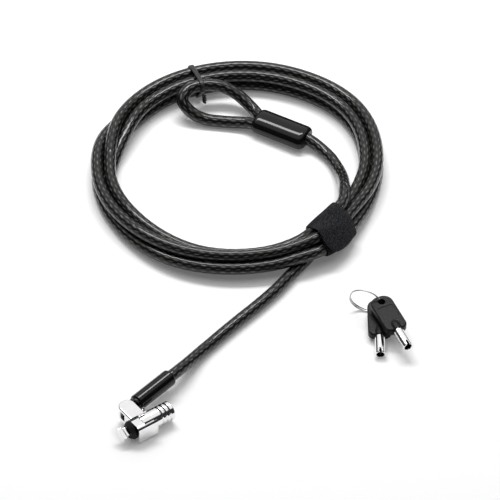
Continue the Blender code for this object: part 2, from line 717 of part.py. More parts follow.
def resample(outline, count):
    """The outline again with a point at each of count equal directions from its middle."""
    middle = Vector((sum(p[0] for p in outline), sum(p[1] for p in outline))) / len(outline)
    result = []
    for i in range(count):
        angle = 2 * math.pi * i / count
        ray = Vector((math.cos(angle), math.sin(angle)))
        best = 0.0
        for p, q in zip(outline, outline[1:] + outline[:1]):
            a, b = Vector(p) - middle, Vector(q) - middle
            edge = b - a
            cross = ray.x * edge.y - ray.y * edge.x
            if abs(cross) > 1e-9:
                reach = (a.x * edge.y - a.y * edge.x) / cross
                along = (a.x * ray.y - a.y * ray.x) / cross
                if reach > 0 and -1e-6 <= along <= 1 + 1e-6:
                    best = max(best, reach)
        result.append((middle.x + ray.x * best, middle.y + ray.y * best))
    return result


def corner_circles():
    inner, outer = COIL_INNER + COIL_CORNER, COIL_OUTER - COIL_CORNER
    low, high = COIL_BOTTOM + COIL_CORNER, COIL_TOP - COIL_CORNER
    return [(inner, low, COIL_CORNER), (outer, low, COIL_CORNER), (outer, high, COIL_CORNER),
            (inner, high, COIL_CORNER)]


def ring_point(radius, height, degrees):
    angle = math.radians(degrees)
    return (COIL_CENTRE.x + radius * math.cos(angle), COIL_CENTRE.y + radius * math.sin(angle), height)


def bend_band(bm, inner, outer, start, end, steps):
    """A closed band with the given section, carried along the coil from angle start to end."""
    loops = []
    for k in range(steps + 1):
        degrees = start + (end - start) * k / steps
        loops.append(([bm.verts.new(ring_point(r, z, degrees)) for r, z in inner],
                      [bm.verts.new(ring_point(r, z, degrees)) for r, z in outer]))
    count = len(inner)
    for (in_a, out_a), (in_b, out_b) in zip(loops, loops[1:]):
        for i in range(count):
            j = (i + 1) % count
            bm.faces.new((in_a[i], in_a[j], in_b[j], in_b[i]))
            bm.faces.new((out_a[i], out_b[i], out_b[j], out_a[j]))
    for ins, outs in (loops[0], loops[-1]):
        for i in range(count):
            j = (i + 1) % count
            bm.faces.new((ins[i], outs[i], outs[j], ins[j]))


def build_strap(root):
    circles = corner_circles() + [(*LEAD_IN_STRAP, CABLE_RADIUS)]
    inner, outer = belt(circles, GAP, STRAP_THICKNESS)
    band = bmesh.new()
    bend_band(band, inner, outer, STRAP_ANGLE - STRAP_HALF_SPAN, STRAP_ANGLE + STRAP_HALF_SPAN, 4)
    world_piece("strap_band", band, fabric(), root)

    flap_in, flap_out = belt(circles, 2 * GAP + STRAP_THICKNESS, STRAP_THICKNESS)
    covered = [i % BELT_POINTS for i in range(*FLAP_SPAN)]
    section = [flap_in[i] for i in covered] + [flap_out[i] for i in covered[::-1]]
    flap = bmesh.new()
    half = STRAP_HALF_SPAN - GAP
    rows = []
    for k in range(5):
        degrees = STRAP_ANGLE - half + 2 * half * k / 4
        rows.append([flap.verts.new(ring_point(r, z, degrees)) for r, z in section])
    for a, b in zip(rows, rows[1:]):
        for i in range(len(section)):
            j = (i + 1) % len(section)
            flap.faces.new((a[i], a[j], b[j], b[i]))
    flap.faces.new(rows[0])
    flap.faces.new(rows[-1][::-1])
    world_piece("strap_hook_end", flap, fabric(), root)


def build_tie(root):
    circles = corner_circles() + [(*LOOP_AT_TIE, CABLE_RADIUS)]
    inner, outer = belt(circles, GAP, TIE_THICKNESS)
    band = bmesh.new()
    bend_band(band, inner, outer, TIE_ANGLE - TIE_HALF_SPAN, TIE_ANGLE + TIE_HALF_SPAN, 1)
    world_piece("twist_tie", band, black_plastic(), root)


# ---------------------------------------------------------------- ferrule
def ferrule_matrix():
    turn_to = Matrix.Rotation(math.radians(FERRULE_HEADING), 4, "Z")
    return Matrix.Translation(FERRULE_CENTRE) @ turn_to


def stadium_outline(width, height, steps=8):
    """Outline of a flat oval, wide along its first axis."""
    radius = height / 2
    shift = width / 2 - radius
    return arc((shift, 0), radius, -90, 90, steps) + arc((-shift, 0), radius, 90, 270, steps)


def stadium_bar(bm, sections):
    """Closed bar through flat-oval sections (along, width, height)."""
    rows = []
    for along, width, height in sections:
        rows.append([bm.verts.new((along, y, z)) for y, z in stadium_outline(width, height)])
    for a, b in zip(rows, rows[1:]):
        for i in range(len(a)):
            j = (i + 1) % len(a)
            bm.faces.new((a[i], a[j], b[j], b[i]))
    bm.faces.new(rows[0][::-1])
    bm.faces.new(rows[-1])


def build_ferrule(root):
    half = FERRULE_LENGTH / 2
    end_length, draw = FERRULE_ENDS
    sections = []
    for k in range(5):
        angle = math.radians(90 * k / 4)
        shrink = draw * (1 - math.sin(angle))
        sections.append((-half + end_length * (1 - math.cos(angle)), FERRULE_WIDTH - 2 * shrink,
                         FERRULE_HEIGHT - 2 * shrink))
    sections += [(-along, width, height) for along, width, height in sections[::-1]]
    cover = bmesh.new()
    stadium_bar(cover, sections)
    place(cover, ferrule_matrix())
    shell = world_piece("ferrule_cover", cover, black_plastic(), root)
    hollow = bmesh.new()
    reach = half - FERRULE_END_WALL
    stadium_bar(hollow, [(-reach, *FERRULE_HOLLOW), (reach, *FERRULE_HOLLOW)])
    place(hollow, ferrule_matrix())
    add_tool(shell, "ferrule_hollow_cut", hollow, "DIFFERENCE", root)
    past = half + CUT_PAST
    mouths = ((-past, 0, LOOP_LEG_OFFSET), (-past, 0, -LOOP_LEG_OFFSET), (0, past, 0))
    for number, (low, high, offset) in enumerate(mouths):
        mouth = bmesh.new()
        solid_turned(mouth, [(low, FERRULE_MOUTH_RADIUS), (high, FERRULE_MOUTH_RADIUS)], SMALL_SIDES)
        place(mouth, ferrule_matrix() @ Matrix.Translation((0, offset, 0)))
        add_tool(shell, f"ferrule_mouth_cut_{number}", mouth, "DIFFERENCE", root)

    crimp = bmesh.new()
    reach = half - CRIMP_SLEEVE_END
    stadium_bar(crimp, [(-reach, *CRIMP_SLEEVE), (reach, *CRIMP_SLEEVE)])
    place(crimp, ferrule_matrix())
    world_piece("ferrule_crimp", crimp, steel(), root)


# ---------------------------------------------------------------- keys
def key_matrix(key):
    """Key frame: origin at the bow's hole, +X towards the tip of the tube."""
    turn_to = Matrix.Rotation(math.radians(key["heading"]), 4, "Z")
    dip = Matrix.Rotation(math.radians(key["pitch"]), 4, "Y")
    return Matrix.Translation(key["hole"]) @ turn_to @ dip


def bow_outline():
    """Plan of the bow: round top, straight sides, cut corners beside the tube."""
    top, bottom = -HOLE_FROM_END, BOW_LENGTH - HOLE_FROM_END
    half = BOW_WIDTH / 2
    points = arc((top + BOW_TOP_CORNER, -half + BOW_TOP_CORNER), BOW_TOP_CORNER, 180, 270, 6)
    points += [(bottom - back, -half + inward) for back, inward in BOW_FOOT]
    points += [(x, -y) for x, y in points[::-1]]
    return points


def build_key(name, key, parent):
    bow = bmesh.new()
    prism(bow, bow_outline(), -BOW_THICKNESS / 2, BOW_THICKNESS / 2)
    place(bow, key_matrix(key))
    body = world_piece(f"{name}_bow", bow, key_plastic(), parent)
    bottom = BOW_LENGTH - HOLE_FROM_END
    boss = bmesh.new()
    solid_turned(boss, [(bottom - back, radius) for back, radius in BOSS_PROFILE], 24)
    place(boss, key_matrix(key))
    add_tool(body, f"{name}_boss", boss, "UNION", parent)
    hole = bmesh.new()
    prism(hole, circle((0, 0), BOW_HOLE_RADIUS, 20), -CUT_PAST, CUT_PAST)
    place(hole, key_matrix(key))
    add_tool(body, f"{name}_ring_hole_cut", hole, "DIFFERENCE", parent)
    socket = bmesh.new()
    wide, thick = TONGUE_HALF_SIZE
    box_mesh(socket, (bottom - SOCKET_DEPTH, -wide - GAP, -thick - GAP),
             (bottom + CUT_PAST, wide + GAP, thick + GAP))
    place(socket, key_matrix(key))
    add_tool(body, f"{name}_socket_cut", socket, "DIFFERENCE", parent)

    start = bottom + GAP
    end = start + KEY_TUBE_LENGTH
    shank = bmesh.new()
    bevel_length, bevel_drop = KEY_TUBE_CHAMFER
    profile = [(start, KEY_TUBE_RADIUS), (end - bevel_length, KEY_TUBE_RADIUS),
               (end, KEY_TUBE_RADIUS - bevel_drop)]
    solid_turned(shank, profile, 28)
    place(shank, key_matrix(key))
    tube_piece = world_piece(f"{name}_tube", shank, chrome(), parent)
    tongue = bmesh.new()
    box_mesh(tongue, (start - TONGUE_LENGTH, -wide, -thick), (start + 0.5, wide, thick))
    place(tongue, key_matrix(key))
    add_tool(tube_piece, f"{name}_tongue", tongue, "UNION", parent)
    bore = bmesh.new()
    solid_turned(bore, [(start + KEY_TUBE_FLOOR, KEY_TUBE_BORE), (end + CUT_PAST, KEY_TUBE_BORE)], 24)
    place(bore, key_matrix(key))
    add_tool(tube_piece, f"{name}_bore_cut", bore, "DIFFERENCE", parent)
    notch = bmesh.new()
    box_mesh(notch, (end - NOTCH_LENGTH, -NOTCH_HALF_WIDTH, NOTCH_FROM_AXIS),
             (end + CUT_PAST, NOTCH_HALF_WIDTH, KEY_TUBE_RADIUS + CUT_PAST))
    place(notch, key_matrix(key))
    add_tool(tube_piece, f"{name}_notch_cut", notch, "DIFFERENCE", parent)


def build_ring(parent):
    """Sprung wire ring of a little more than one turn, its ends side by side."""
    heading = math.radians(RING_HEADING)
    along = Vector((math.cos(heading), math.sin(heading), 0))
    normal = Vector((-math.sin(heading), math.cos(heading), 0))
    lean = math.radians(RING_LEAN)
    normal = (normal * math.cos(lean) + Vector((0, 0, 1)) * math.sin(lean)).normalized()
    up = along.cross(normal)
    if up.z < 0:
        up = -up
    count = 52
    points = []
    for i in range(count + 1):
        part = i / count
        angle = math.radians(RING_START) + 2 * math.pi * RING_TURNS * part
        side = normal * (RING_PITCH * (part - 0.5))
        points.append(RING_CENTRE + RING_RADIUS * (along * math.cos(angle) + up * math.sin(angle)) + side)
    tube("key_ring", points, RING_WIRE, chrome(), parent, resolution=1)


# ---------------------------------------------------------------- assembly
def main():
    clear_scene()
    root = empty("cable_side")
    pivot = empty("yoke_pivot", (PIVOT.x, PIVOT.y, LUG_MIDDLE))
    barrel = empty("barrel_axis", (-PIVOT.x, -PIVOT.y, AXIS_HEIGHT - LUG_MIDDLE), pivot)
    plug = empty("plug_axis", (0, 0, 0), barrel)
    drivers = empty("driver_pin_axis", (0, 0, 0), barrel)
    key_pins = empty("key_pin_axis", (0, 0, 0), plug)
    ring = empty("ring_axis", RING_CENTRE)
    key_a = empty("key_a_axis", KEY_A["hole"] - RING_CENTRE, ring)
    key_b = empty("key_b_axis", KEY_B["hole"] - RING_CENTRE, ring)
    build_yoke(pivot)
    build_barrel(barrel)
    build_nose(barrel)
    build_tumblers(barrel, plug, drivers, key_pins)
    build_t_bar(plug)
    build_cable_end(root)
    build_cable(root)
    build_strap(root)
    build_tie(root)
    build_ferrule(root)
    build_ring(ring)
    build_key("key_a", KEY_A, key_a)
    build_key("key_b", KEY_B, key_b)


main()
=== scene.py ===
"""Looks of the laptop cable lock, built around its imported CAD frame.

The frame is the CAD's own: origin in the middle of the yoke's underside, +X along the barrel
towards the keyhole, +Z up. Lengths are written in millimetres and scaled by MM where a mesh is made.
"""

import math

import bmesh
import bpy
import numpy as np
from mathutils import Matrix, Vector


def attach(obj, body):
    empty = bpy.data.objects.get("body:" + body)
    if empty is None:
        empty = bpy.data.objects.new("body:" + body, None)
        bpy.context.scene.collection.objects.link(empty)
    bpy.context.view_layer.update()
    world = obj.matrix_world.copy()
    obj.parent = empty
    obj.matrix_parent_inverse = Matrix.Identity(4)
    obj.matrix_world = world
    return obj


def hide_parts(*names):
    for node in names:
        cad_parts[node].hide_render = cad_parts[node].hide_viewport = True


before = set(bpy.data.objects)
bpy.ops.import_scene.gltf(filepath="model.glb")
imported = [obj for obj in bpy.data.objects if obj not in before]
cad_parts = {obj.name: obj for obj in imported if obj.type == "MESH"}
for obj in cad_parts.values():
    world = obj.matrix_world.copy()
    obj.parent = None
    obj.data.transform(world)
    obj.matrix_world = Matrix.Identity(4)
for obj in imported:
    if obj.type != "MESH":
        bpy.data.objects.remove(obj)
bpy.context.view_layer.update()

MM = 0.001

# ------ sizes, in millimetres and degrees
LUG_TOP = 10.6
LUG_START_Y = 1.3
LUG_RIM = 0.85                # rounding of the lug's upper rim
LUG_RIM_STEPS = 6
YOKE_EDGE = 0.2               # and of the casting's other edges
NEAR_TOP = 0.05               # an edge this close to the lug's top belongs to its rim
CABLE_RADIUS = 2.75

COIL_CENTRE = Vector((128.6, 104.6))
BUNDLE_RADIUS = 59.0          # radius of the ring that the bundle of four strands follows
BUNDLE_REACH = 4.0            # each strand's distance from the bundle's middle
# How far the ring bulges out of round: (ring angle, outward offset)
RING_BULGE = [(-85, 0.9), (-60, -1.3), (-30, 1.2), (0, 3.7), (30, 2.1), (60, 0.8), (90, 0.3),
              (120, -0.3), (150, 1.1), (180, 0.4), (210, 0.9), (240, 0.2)]
COIL_TURNS = 4
TURN_ANGLE = -84.7            # ring angle that the turns are counted from
COIL_START = 12.0             # degrees past it at which the coil begins, and before it at its end
COIL_STOP = 14.0
COIL_STEP = 2.4
STRAP_LIFT = 0.5              # how far the strap under the turns lifts them, over so many degrees
STRAP_LIFT_SPAN = 25.0

# Strap: ring angle of its middle, and how far it reaches each way along the ring, in degrees
STRAP_MIDDLE = -81.6
STRAP_HALF_SPAN = 8.4
STRAP_THICKNESS = 1.05
# Angles round the bundle, 0 outwards and 90 up: the whole strap, its hook side, its cloth side
STRAP_SWEEP = (48.0, -370.0)
STRAP_HOOKS = (48.0, -110.0)
STRAP_CLOTH = (-110.0, -370.0)
STRAP_CLIMB = (285.0, 330.0)  # degrees from the start over which the end climbs onto it
STRAP_END_ROUND = 6.5
# Its pieces: name, CAD node, finish, angles, steps along it, and the brightness painted on its fabric: the
# hook side underneath is darkened as painted shade, the cloth side on top is lightened as painted light
STRAP_PIECES = [("strap_hooks", "strap_hook_end", "strap_hook", STRAP_HOOKS, 60, 0.25),
                ("cable_strap", "strap_band", "strap", STRAP_CLOTH, 110, 1.35)]

# Any band wound round the bundle
BAND_CLEARANCE = 0.12         # between the strands and the band
BAND_SMOOTHING = 6
BAND_STEP_UP = 1.12           # how many thicknesses its end climbs
BAND_ROUND_RADIUS = 8.0       # rough distance of a band's end from the bundle's middle
BAND_EDGE_DRAW = 0.22         # share of the thickness that the band loses at each edge, on each side
BAND_EDGE_POWER = 8
OUTLINE_STEPS = 180           # directions in which its outline is kept
TABLE_CLEARANCE = 0.02

TIE_ANGLE = 73.0
TIE_HALF_SPAN = 1.0
TIE_THICKNESS = 0.8
TIE_SWEEP = (200.0, -160.0)
TIE_CLIMB = (900.0, 901.0)    # past its end, so that it never climbs
TIE_END_ROUND = 0.3
# Twisted ends of the tie: (radius, height) where they begin and stop
TWIST_FROM = (46.2, 9.2)
TWIST_TO = (45.6, 5.2)
TWIST_TURNS = 1.6
TWIST_SPREAD = 0.5
TWIST_WIRE = 0.5
TWIST_STEPS = 40

# How far the bundle has turned about its own middle, along each turn: (degrees into it, twist)
BUNDLE_TWIST = [(0, 45), (50, 0), (185, 0), (235, 90), (319, 135), (360, 135)]
FIRST_SLOT = 135.0

# How the strands settle on each other: see settle_line
LINE_SPACING = 2.5
SAME_STRAND = 14.0            # points closer than this along the cable never push each other
STRAND_GAP = 0.05
SEARCH_MARGIN = 2.0
PUSH_SHARE = 0.25
SINK = 0.01                   # fall in each round
RETURN_SHARE = 0.01           # and share of the way back to the route
HELD_TAIL_POINTS = 12         # points at the sleeve that stay where they are
HELD_FERRULE_REACH = 13.5     # and those this close to the ferrule's middle, below this height
HELD_FERRULE_HEIGHT = 6.0

FERRULE_CENTRE = Vector((160.2, 114.4, 4.4))
FERRULE_HEADING = -65.0
FERRULE_LENGTH = 26.0
FERRULE_WIDTH = 13.0
FERRULE_HEIGHT = 8.7
FERRULE_END_ROUNDING = 2.6    # length of each rounded end, and how far it draws in at the mouth
FERRULE_MOUTH_STEP = 1.7
FERRULE_ROUNDNESS = (0.88, 0.96)  # 1 is an ellipse, less is squarer: across, and up
FERRULE_END_STEPS = 12
FERRULE_SIDES = 64
LOOP_LEG_OFFSET = 2.95
# The cable inside the ferrule, as it enters: (along, sideways)
FERRULE_ENTRY = [(7.0, 0.0), (0.0, -0.9), (-7.0, -2.6), (-FERRULE_LENGTH / 2, -LOOP_LEG_OFFSET)]
FERRULE_RETURN_DEPTH = -6.0   # how far into the ferrule the loop's end comes back

# The cable's routes that are not coiled
TAIL_ROUTE = [(25.4, 14.65, 7.3), (26.8, 14.95, 7.3), (32.0, 16.3, 6.9), (38.5, 18.8, 5.3),
              (48.9, 22.8, 3.2), (58.0, 25.3, 2.8), (67.3, 27.6, 2.8), (76.0, 29.6, 2.8),
              (85.2, 31.6, 2.8), (93.0, 33.5, 2.8), (99.0, 35.2, 2.8), (104.0, 37.0, 2.8),
              (108.0, 38.6, 2.8)]
LEAD_ROUTE = [(144.4, 49.4, 13.4), (150.8, 52.8, 12.4), (156.8, 59.2, 10.4), (161.2, 66.8, 7.6),
              (164.8, 74.2, 5.0), (167.2, 81.4, 3.3), (168.4, 88.4, 2.8), (168.2, 94.2, 3.2),
              (167.4, 98.6, 3.8), (166.4, 102.0, 4.2)]
LOOP_ROUTE = [(150.6, 127.6, 3.8), (146.8, 131.6, 3.3), (142.4, 135.8, 3.0), (137.0, 141.2, 3.6),
              (132.9, 147.0, 6.6), (132.2, 151.8, 10.2), (137.0, 153.9, 12.2), (145.0, 152.2, 12.0),
              (151.4, 148.0, 10.6), (155.4, 142.0, 8.2), (157.0, 136.6, 6.0), (157.7, 131.4, 4.4)]

BOW_LENGTH = 21.0
BOW_WIDTH = 10.4
BOW_THICKNESS = 3.8
BOW_EDGE = 0.75               # rounding of the bow's rim
BOW_HOLE_RADIUS = 1.7
HOLE_FROM_END = 3.6
BOW_FOOT = BOW_LENGTH - HOLE_FROM_END   # the bow's foot, from its hole
BOW_TOP_CORNER = 4.4
FOOT_CORNER = 3.0
PANEL_DEPTH = 0.22
PANEL_FROM_HOLE = 3.0
PANEL_FROM_FOOT = 6.4
PANEL_MARGIN = 1.2
PANEL_CORNER = 1.3
# Boss round the tube's root: (distance from the bow's foot, radius)
BOSS = [(-8.0, 1.2), (-5.0, 2.2), (-3.0, 2.75), (0.0, 2.75)]
KEY_TUBE_RADIUS = 2.4
KEY_TUBE_BORE = 1.7
KEY_TUBE_LENGTH = 10.0
KEY_TUBE_GAP = 0.3            # from the bow's foot
KEY_TUBE_ROOT = 0.7           # step of the thinner root that joins the bow
NOTCH_DEPTH = 2.6
NOTCH_HALF_WIDTH = 0.55
KEY_A = dict(hole=Vector((128.9, -2.15, 4.15)), heading=-124.7, pitch=3.6)
KEY_B = dict(hole=Vector((128.3, -4.9, 8.8)), heading=-100.8, pitch=3.4)
RING_RADIUS = 7.3
RING_WIRE = 0.34
RING_CENTRE = Vector((124.65, 1.84, 7.8))
RING_HEADING = -52.5
RING_LEAN = 9.1
RING_TURNS = 1.3
RING_START = 165.0
RING_SPREAD = 1.2             # sideways distance from the wire's one end to its other
RING_STEPS = 160

# Weave seen through the cable's clear jacket
WEAVE_ROWS = 6                # braid crossings round the cable, in each direction
WEAVE_PITCH = 4.3             # length of one braid diamond along the cable
WEAVE_RISE = 0.035
CABLE_SPACING = 0.75          # rings of the cable's mesh along it, and corners round it
CABLE_SIDES = 28

# View and light
VIEW_TARGET = Vector((106.3, 64.4, 0.0))
VIEW_AZIMUTH = -36.0
VIEW_ELEVATION = 45.0
VIEW_DISTANCE = 10000.0
VIEW_WIDTH = 223.5            # width of the picture at the target
SENSOR = 36.0
CLIP = (0.1, 100.0)           # metres
FLOOR_HALF_SIZE = 4000.0
FLOOR_DROP = 0.02
SOFTBOX_REACH = 1000.0        # its distance from the middle of the view
SOFTBOX_BACK = 0.50           # offsets behind and to the left, as shares of the height
SOFTBOX_LEFT = 0.06
SOFTBOX_SIZE = (760.0, 300.0)  # across the view, and away from it
SOFTBOX_RADIANCE = 16.5
FLOOR_GLOW = 0.13             # light that the paper passes on from outside the view
ROOM_TILT = 25.0              # the pale part of the room is centred this far behind overhead
ROOM_PALE_ANGLE = 50.0        # and reaches this far to each side of there
ROOM_EDGE = 0.05              # softness of its edge
ROOM_PALE = (1.0, 1.0, 1.0)
ROOM_DARK = (0.03, 0.03, 0.035)


# ------ small maths
def smoothstep(x):
    x = min(1.0, max(0.0, x))
    return x * x * (3 - 2 * x)


def unit(degrees):
    angle = math.radians(degrees)
    return Vector((math.cos(angle), math.sin(angle), 0.0))


def arc(centre, radius, start, end, steps):
    """Points on an arc, angles in degrees, both ends included."""
    points = []
    for i in range(steps + 1):
        angle = math.radians(start + (end - start) * i / steps)
        points.append((centre[0] + radius * math.cos(angle), centre[1] + radius * math.sin(angle)))
    return points


def smooth_curve(points, steps=12):
    """Dense points on a smooth curve through a route's points, however unevenly they are spaced."""
    route = np.array(points, float)
    gaps = np.linalg.norm(np.diff(route, axis=0), axis=1)
    slopes = np.diff(route, axis=0) / gaps[:, None]
    before, after = gaps[:-1, None], gaps[1:, None]
    middle = (slopes[:-1] * after + slopes[1:] * before) / (before + after)
    tangents = np.concatenate([slopes[:1], middle, slopes[-1:]])
    dense = []
    for i, gap in enumerate(gaps):
        for k in range(steps):
            t = k / steps
            rise = 3 * t * t - 2 * t ** 3
            leave, arrive = gap * (t - 2 * t * t + t ** 3), gap * (t ** 3 - t * t)
            between = route[i] * (1 - rise) + route[i + 1] * rise
            dense.append(between + tangents[i] * leave + tangents[i + 1] * arrive)
    dense.append(route[-1])
    return np.array(dense)


def evenly_spaced(points, spacing):
    """The same line with a point every so many millimetres."""
    steps = np.linalg.norm(np.diff(points, axis=0), axis=1)
    reach = np.concatenate([[0.0], np.cumsum(steps)])
    count = max(2, int(round(reach[-1] / spacing)))
    goal = np.linspace(0.0, reach[-1], count + 1)
    return np.stack([np.interp(goal, reach, points[:, k]) for k in range(3)], axis=1)


# ------ node helpers
class Paint:
    """A material's node tree, with short calls for the maths between its nodes."""

    def __init__(self, name):
        self.material = bpy.data.materials.new(name)
        self.material.use_nodes = True
        self.tree = self.material.node_tree
        self.shader = self.tree.nodes["Principled BSDF"]

    def node(self, kind, **settings):
        made = self.tree.nodes.new(kind)
        for key, value in settings.items():
            setattr(made, key, value)
        return made

    def join(self, value, socket):
        if isinstance(value, bpy.types.NodeSocket):
            self.tree.links.new(value, socket)
        else:
            socket.default_value = value

    def maths(self, operation, a, b=0.0, c=None, clamp=False):
        made = self.node("ShaderNodeMath", operation=operation, use_clamp=clamp)
        self.join(a, made.inputs[0])
        self.join(b, made.inputs[1])
        if c is not None:
            self.join(c, made.inputs[2])
        return made.outputs[0]

    def place(self):
        """Position on the piece, in millimetres."""
        coordinates = self.node("ShaderNodeTexCoord")
        scale = self.node("ShaderNodeVectorMath", operation="SCALE")
        self.join(coordinates.outputs["Object"], scale.inputs[0])
        scale.inputs["Scale"].default_value = 1.0 / MM
        return scale.outputs["Vector"]

    def noise(self, vector, size, detail=2.0, roughness=0.5, stretch=None):
        """Noise from 0 to 1 with features of about the given size in millimetres."""
        if stretch is not None:
            mapping = self.node("ShaderNodeMapping")
            mapping.inputs["Scale"].default_value = stretch
            self.join(vector, mapping.inputs["Vector"])
            vector = mapping.outputs["Vector"]
        made = self.node("ShaderNodeTexNoise")
        self.join(vector, made.inputs["Vector"])
        made.inputs["Scale"].default_value = 1.0 / size
        made.inputs["Detail"].default_value = detail
        made.inputs["Roughness"].default_value = roughness
        return made.outputs["Fac"]

    def blend(self, share, a, b):
        """Colour a where share is 0, b where it is 1."""
        made = self.node("ShaderNodeMix", data_type="RGBA")
        self.join(share, made.inputs["Factor"])
        for value, socket in ((a, made.inputs["A"]), (b, made.inputs["B"])):
            self.join(value if isinstance(value, bpy.types.NodeSocket) else (*value, 1.0), socket)
        return made.outputs["Result"]

    def span(self, value, low, high, to_low=0.0, to_high=1.0):
        made = self.node("ShaderNodeMapRange", clamp=True)
        self.join(value, made.inputs["Value"])
        for name, number in (("From Min", low), ("From Max", high), ("To Min", to_low), ("To Max", to_high)):
            made.inputs[name].default_value = number
        return made.outputs["Result"]

    def bump(self, height, depth, socket="Normal"):
        """Raises the surface by height times depth millimetres."""
        made = self.node("ShaderNodeBump")
        made.inputs["Strength"].default_value = 1.0
        made.inputs["Distance"].default_value = depth * MM
        self.join(height, made.inputs["Height"])
        self.tree.links.new(made.outputs["Normal"], self.shader.inputs[socket])

    def set(self, **values):
        """Joins sockets to the shader's own, and sets plain values straight on them."""
        for name, value in values.items():
            self.join(value, self.shader.inputs[name.replace("_", " ")])


# ------ materials
def metal(name, colour, low, high, grain):
    """Plated or turned metal: faint colour drift, uneven polish and very fine scratches."""
    paint = Paint(name)
    place = paint.place()
    drift = paint.noise(place, 3.0)
    scratches = paint.noise(place, 0.25, 3.0, 0.6, stretch=(0.3, 1.0, 1.0))
    darker = tuple(0.88 * part for part in colour)
    paint.set(Base_Color=paint.blend(drift, colour, darker), Metallic=1.0,
              Roughness=paint.span(scratches, 0.3, 0.7, low, high))
    paint.bump(scratches, grain)
    return paint.material


def gloss_black(name="gloss_black_plastic"):
    """Moulded glossy black plastic, with a faint ripple and rub marks."""
    paint = Paint(name)
    place = paint.place()
    ripple = paint.noise(place, 5.0)
    rubs = paint.noise(place, 0.5, 4.0, 0.65)
    paint.set(Base_Color=paint.blend(rubs, (0.003, 0.003, 0.0032), (0.006, 0.006, 0.0063)),
              Roughness=paint.span(rubs, 0.35, 0.7, 0.06, 0.14), IOR=1.36)
    paint.bump(ripple, 0.02)
    return paint.material


def key_plastic():
    """Dark grey moulded plastic with a spark-eroded grain."""
    paint = Paint("grained_key_plastic")
    place = paint.place()
    grain = paint.noise(place, 0.9, 3.0, 0.7)
    patches = paint.noise(place, 4.0)
    pits = paint.span(grain, 0.35, 0.65)
    tone = paint.maths("MULTIPLY_ADD", patches, 0.3, paint.maths("MULTIPLY", pits, 0.7))
    colour = paint.blend(tone, (0.0006, 0.0007, 0.0009), (0.0085, 0.0087, 0.0096))
    paint.set(Base_Color=colour, Roughness=paint.span(grain, 0.3, 0.7, 0.24, 0.4), Specular_IOR_Level=0.15)
    paint.bump(grain, 0.16)
    return paint.material


def nose_rubber():
    paint = Paint("nose_rubber")
    place = paint.place()
    grain = paint.noise(place, 0.3, 3.0, 0.7)
    paint.set(Base_Color=paint.blend(grain, (0.004, 0.004, 0.0045), (0.009, 0.009, 0.010)),
              Roughness=paint.span(grain, 0.3, 0.7, 0.5, 0.7), Specular_IOR_Level=0.25)
    paint.bump(grain, 0.03)
    return paint.material


def strap_fabric(name, painted_light_level):
    """Charcoal hook-and-loop: a fuzzy field of fine loops over a knit, lighter at the raised fibres; every
    colour is scaled by a painted light level, which paints shade or light onto the whole piece.
    """
    paint = Paint(name)
    place = paint.place()
    loops = paint.noise(place, 0.42, 5.0, 0.75)
    patches = paint.noise(place, 2.2, 3.0)
    cells = paint.node("ShaderNodeTexVoronoi", feature="F1")
    paint.join(place, cells.inputs["Vector"])
    cells.inputs["Scale"].default_value = 1.0 / 0.55
    knit = paint.span(cells.outputs["Distance"], 0.0, 0.7, 1.0, 0.0)
    height = paint.maths("ADD", paint.maths("MULTIPLY", knit, 0.5), loops)
    # colours scaled by the piece's painted light level: low for painted shade, high for painted light
    tips, roots, worn = [(level * painted_light_level, level * 1.04 * painted_light_level, level * 1.17 * painted_light_level)
                         for level in (0.055, 0.004, 0.012)]
    fuzz = paint.blend(paint.span(height, 0.55, 1.15), roots, tips)
    colour = paint.blend(paint.span(patches, 0.3, 0.7, 0.0, 0.35), fuzz, worn)
    paint.set(Base_Color=colour, Roughness=0.95, Specular_IOR_Level=0.15, Sheen_Weight=0.04,
              Sheen_Roughness=0.5)
    paint.bump(height, 0.22)
    return paint.material


def braid_cells(paint):
    """Place inside a diamond of the braid, along and across the cable, and the diamond's two numbers."""
    uv = paint.node("ShaderNodeUVMap", uv_map="cable_map")
    parts = paint.node("ShaderNodeSeparateXYZ")
    paint.join(uv.outputs["UV"], parts.inputs[0])
    along = paint.maths("DIVIDE", parts.outputs["X"], WEAVE_PITCH * MM)
    around = paint.maths("MULTIPLY", parts.outputs["Y"], float(WEAVE_ROWS))
    left = paint.maths("ADD", along, around)
    right = paint.maths("SUBTRACT", along, around)
    in_left = paint.maths("SUBTRACT", paint.maths("FRACT", left), 0.5)
    in_right = paint.maths("SUBTRACT", paint.maths("FRACT", right), 0.5)
    cells = paint.maths("FLOOR", left), paint.maths("FLOOR", right)
    return paint.maths("ADD", in_left, in_right), paint.maths("SUBTRACT", in_left, in_right), cells


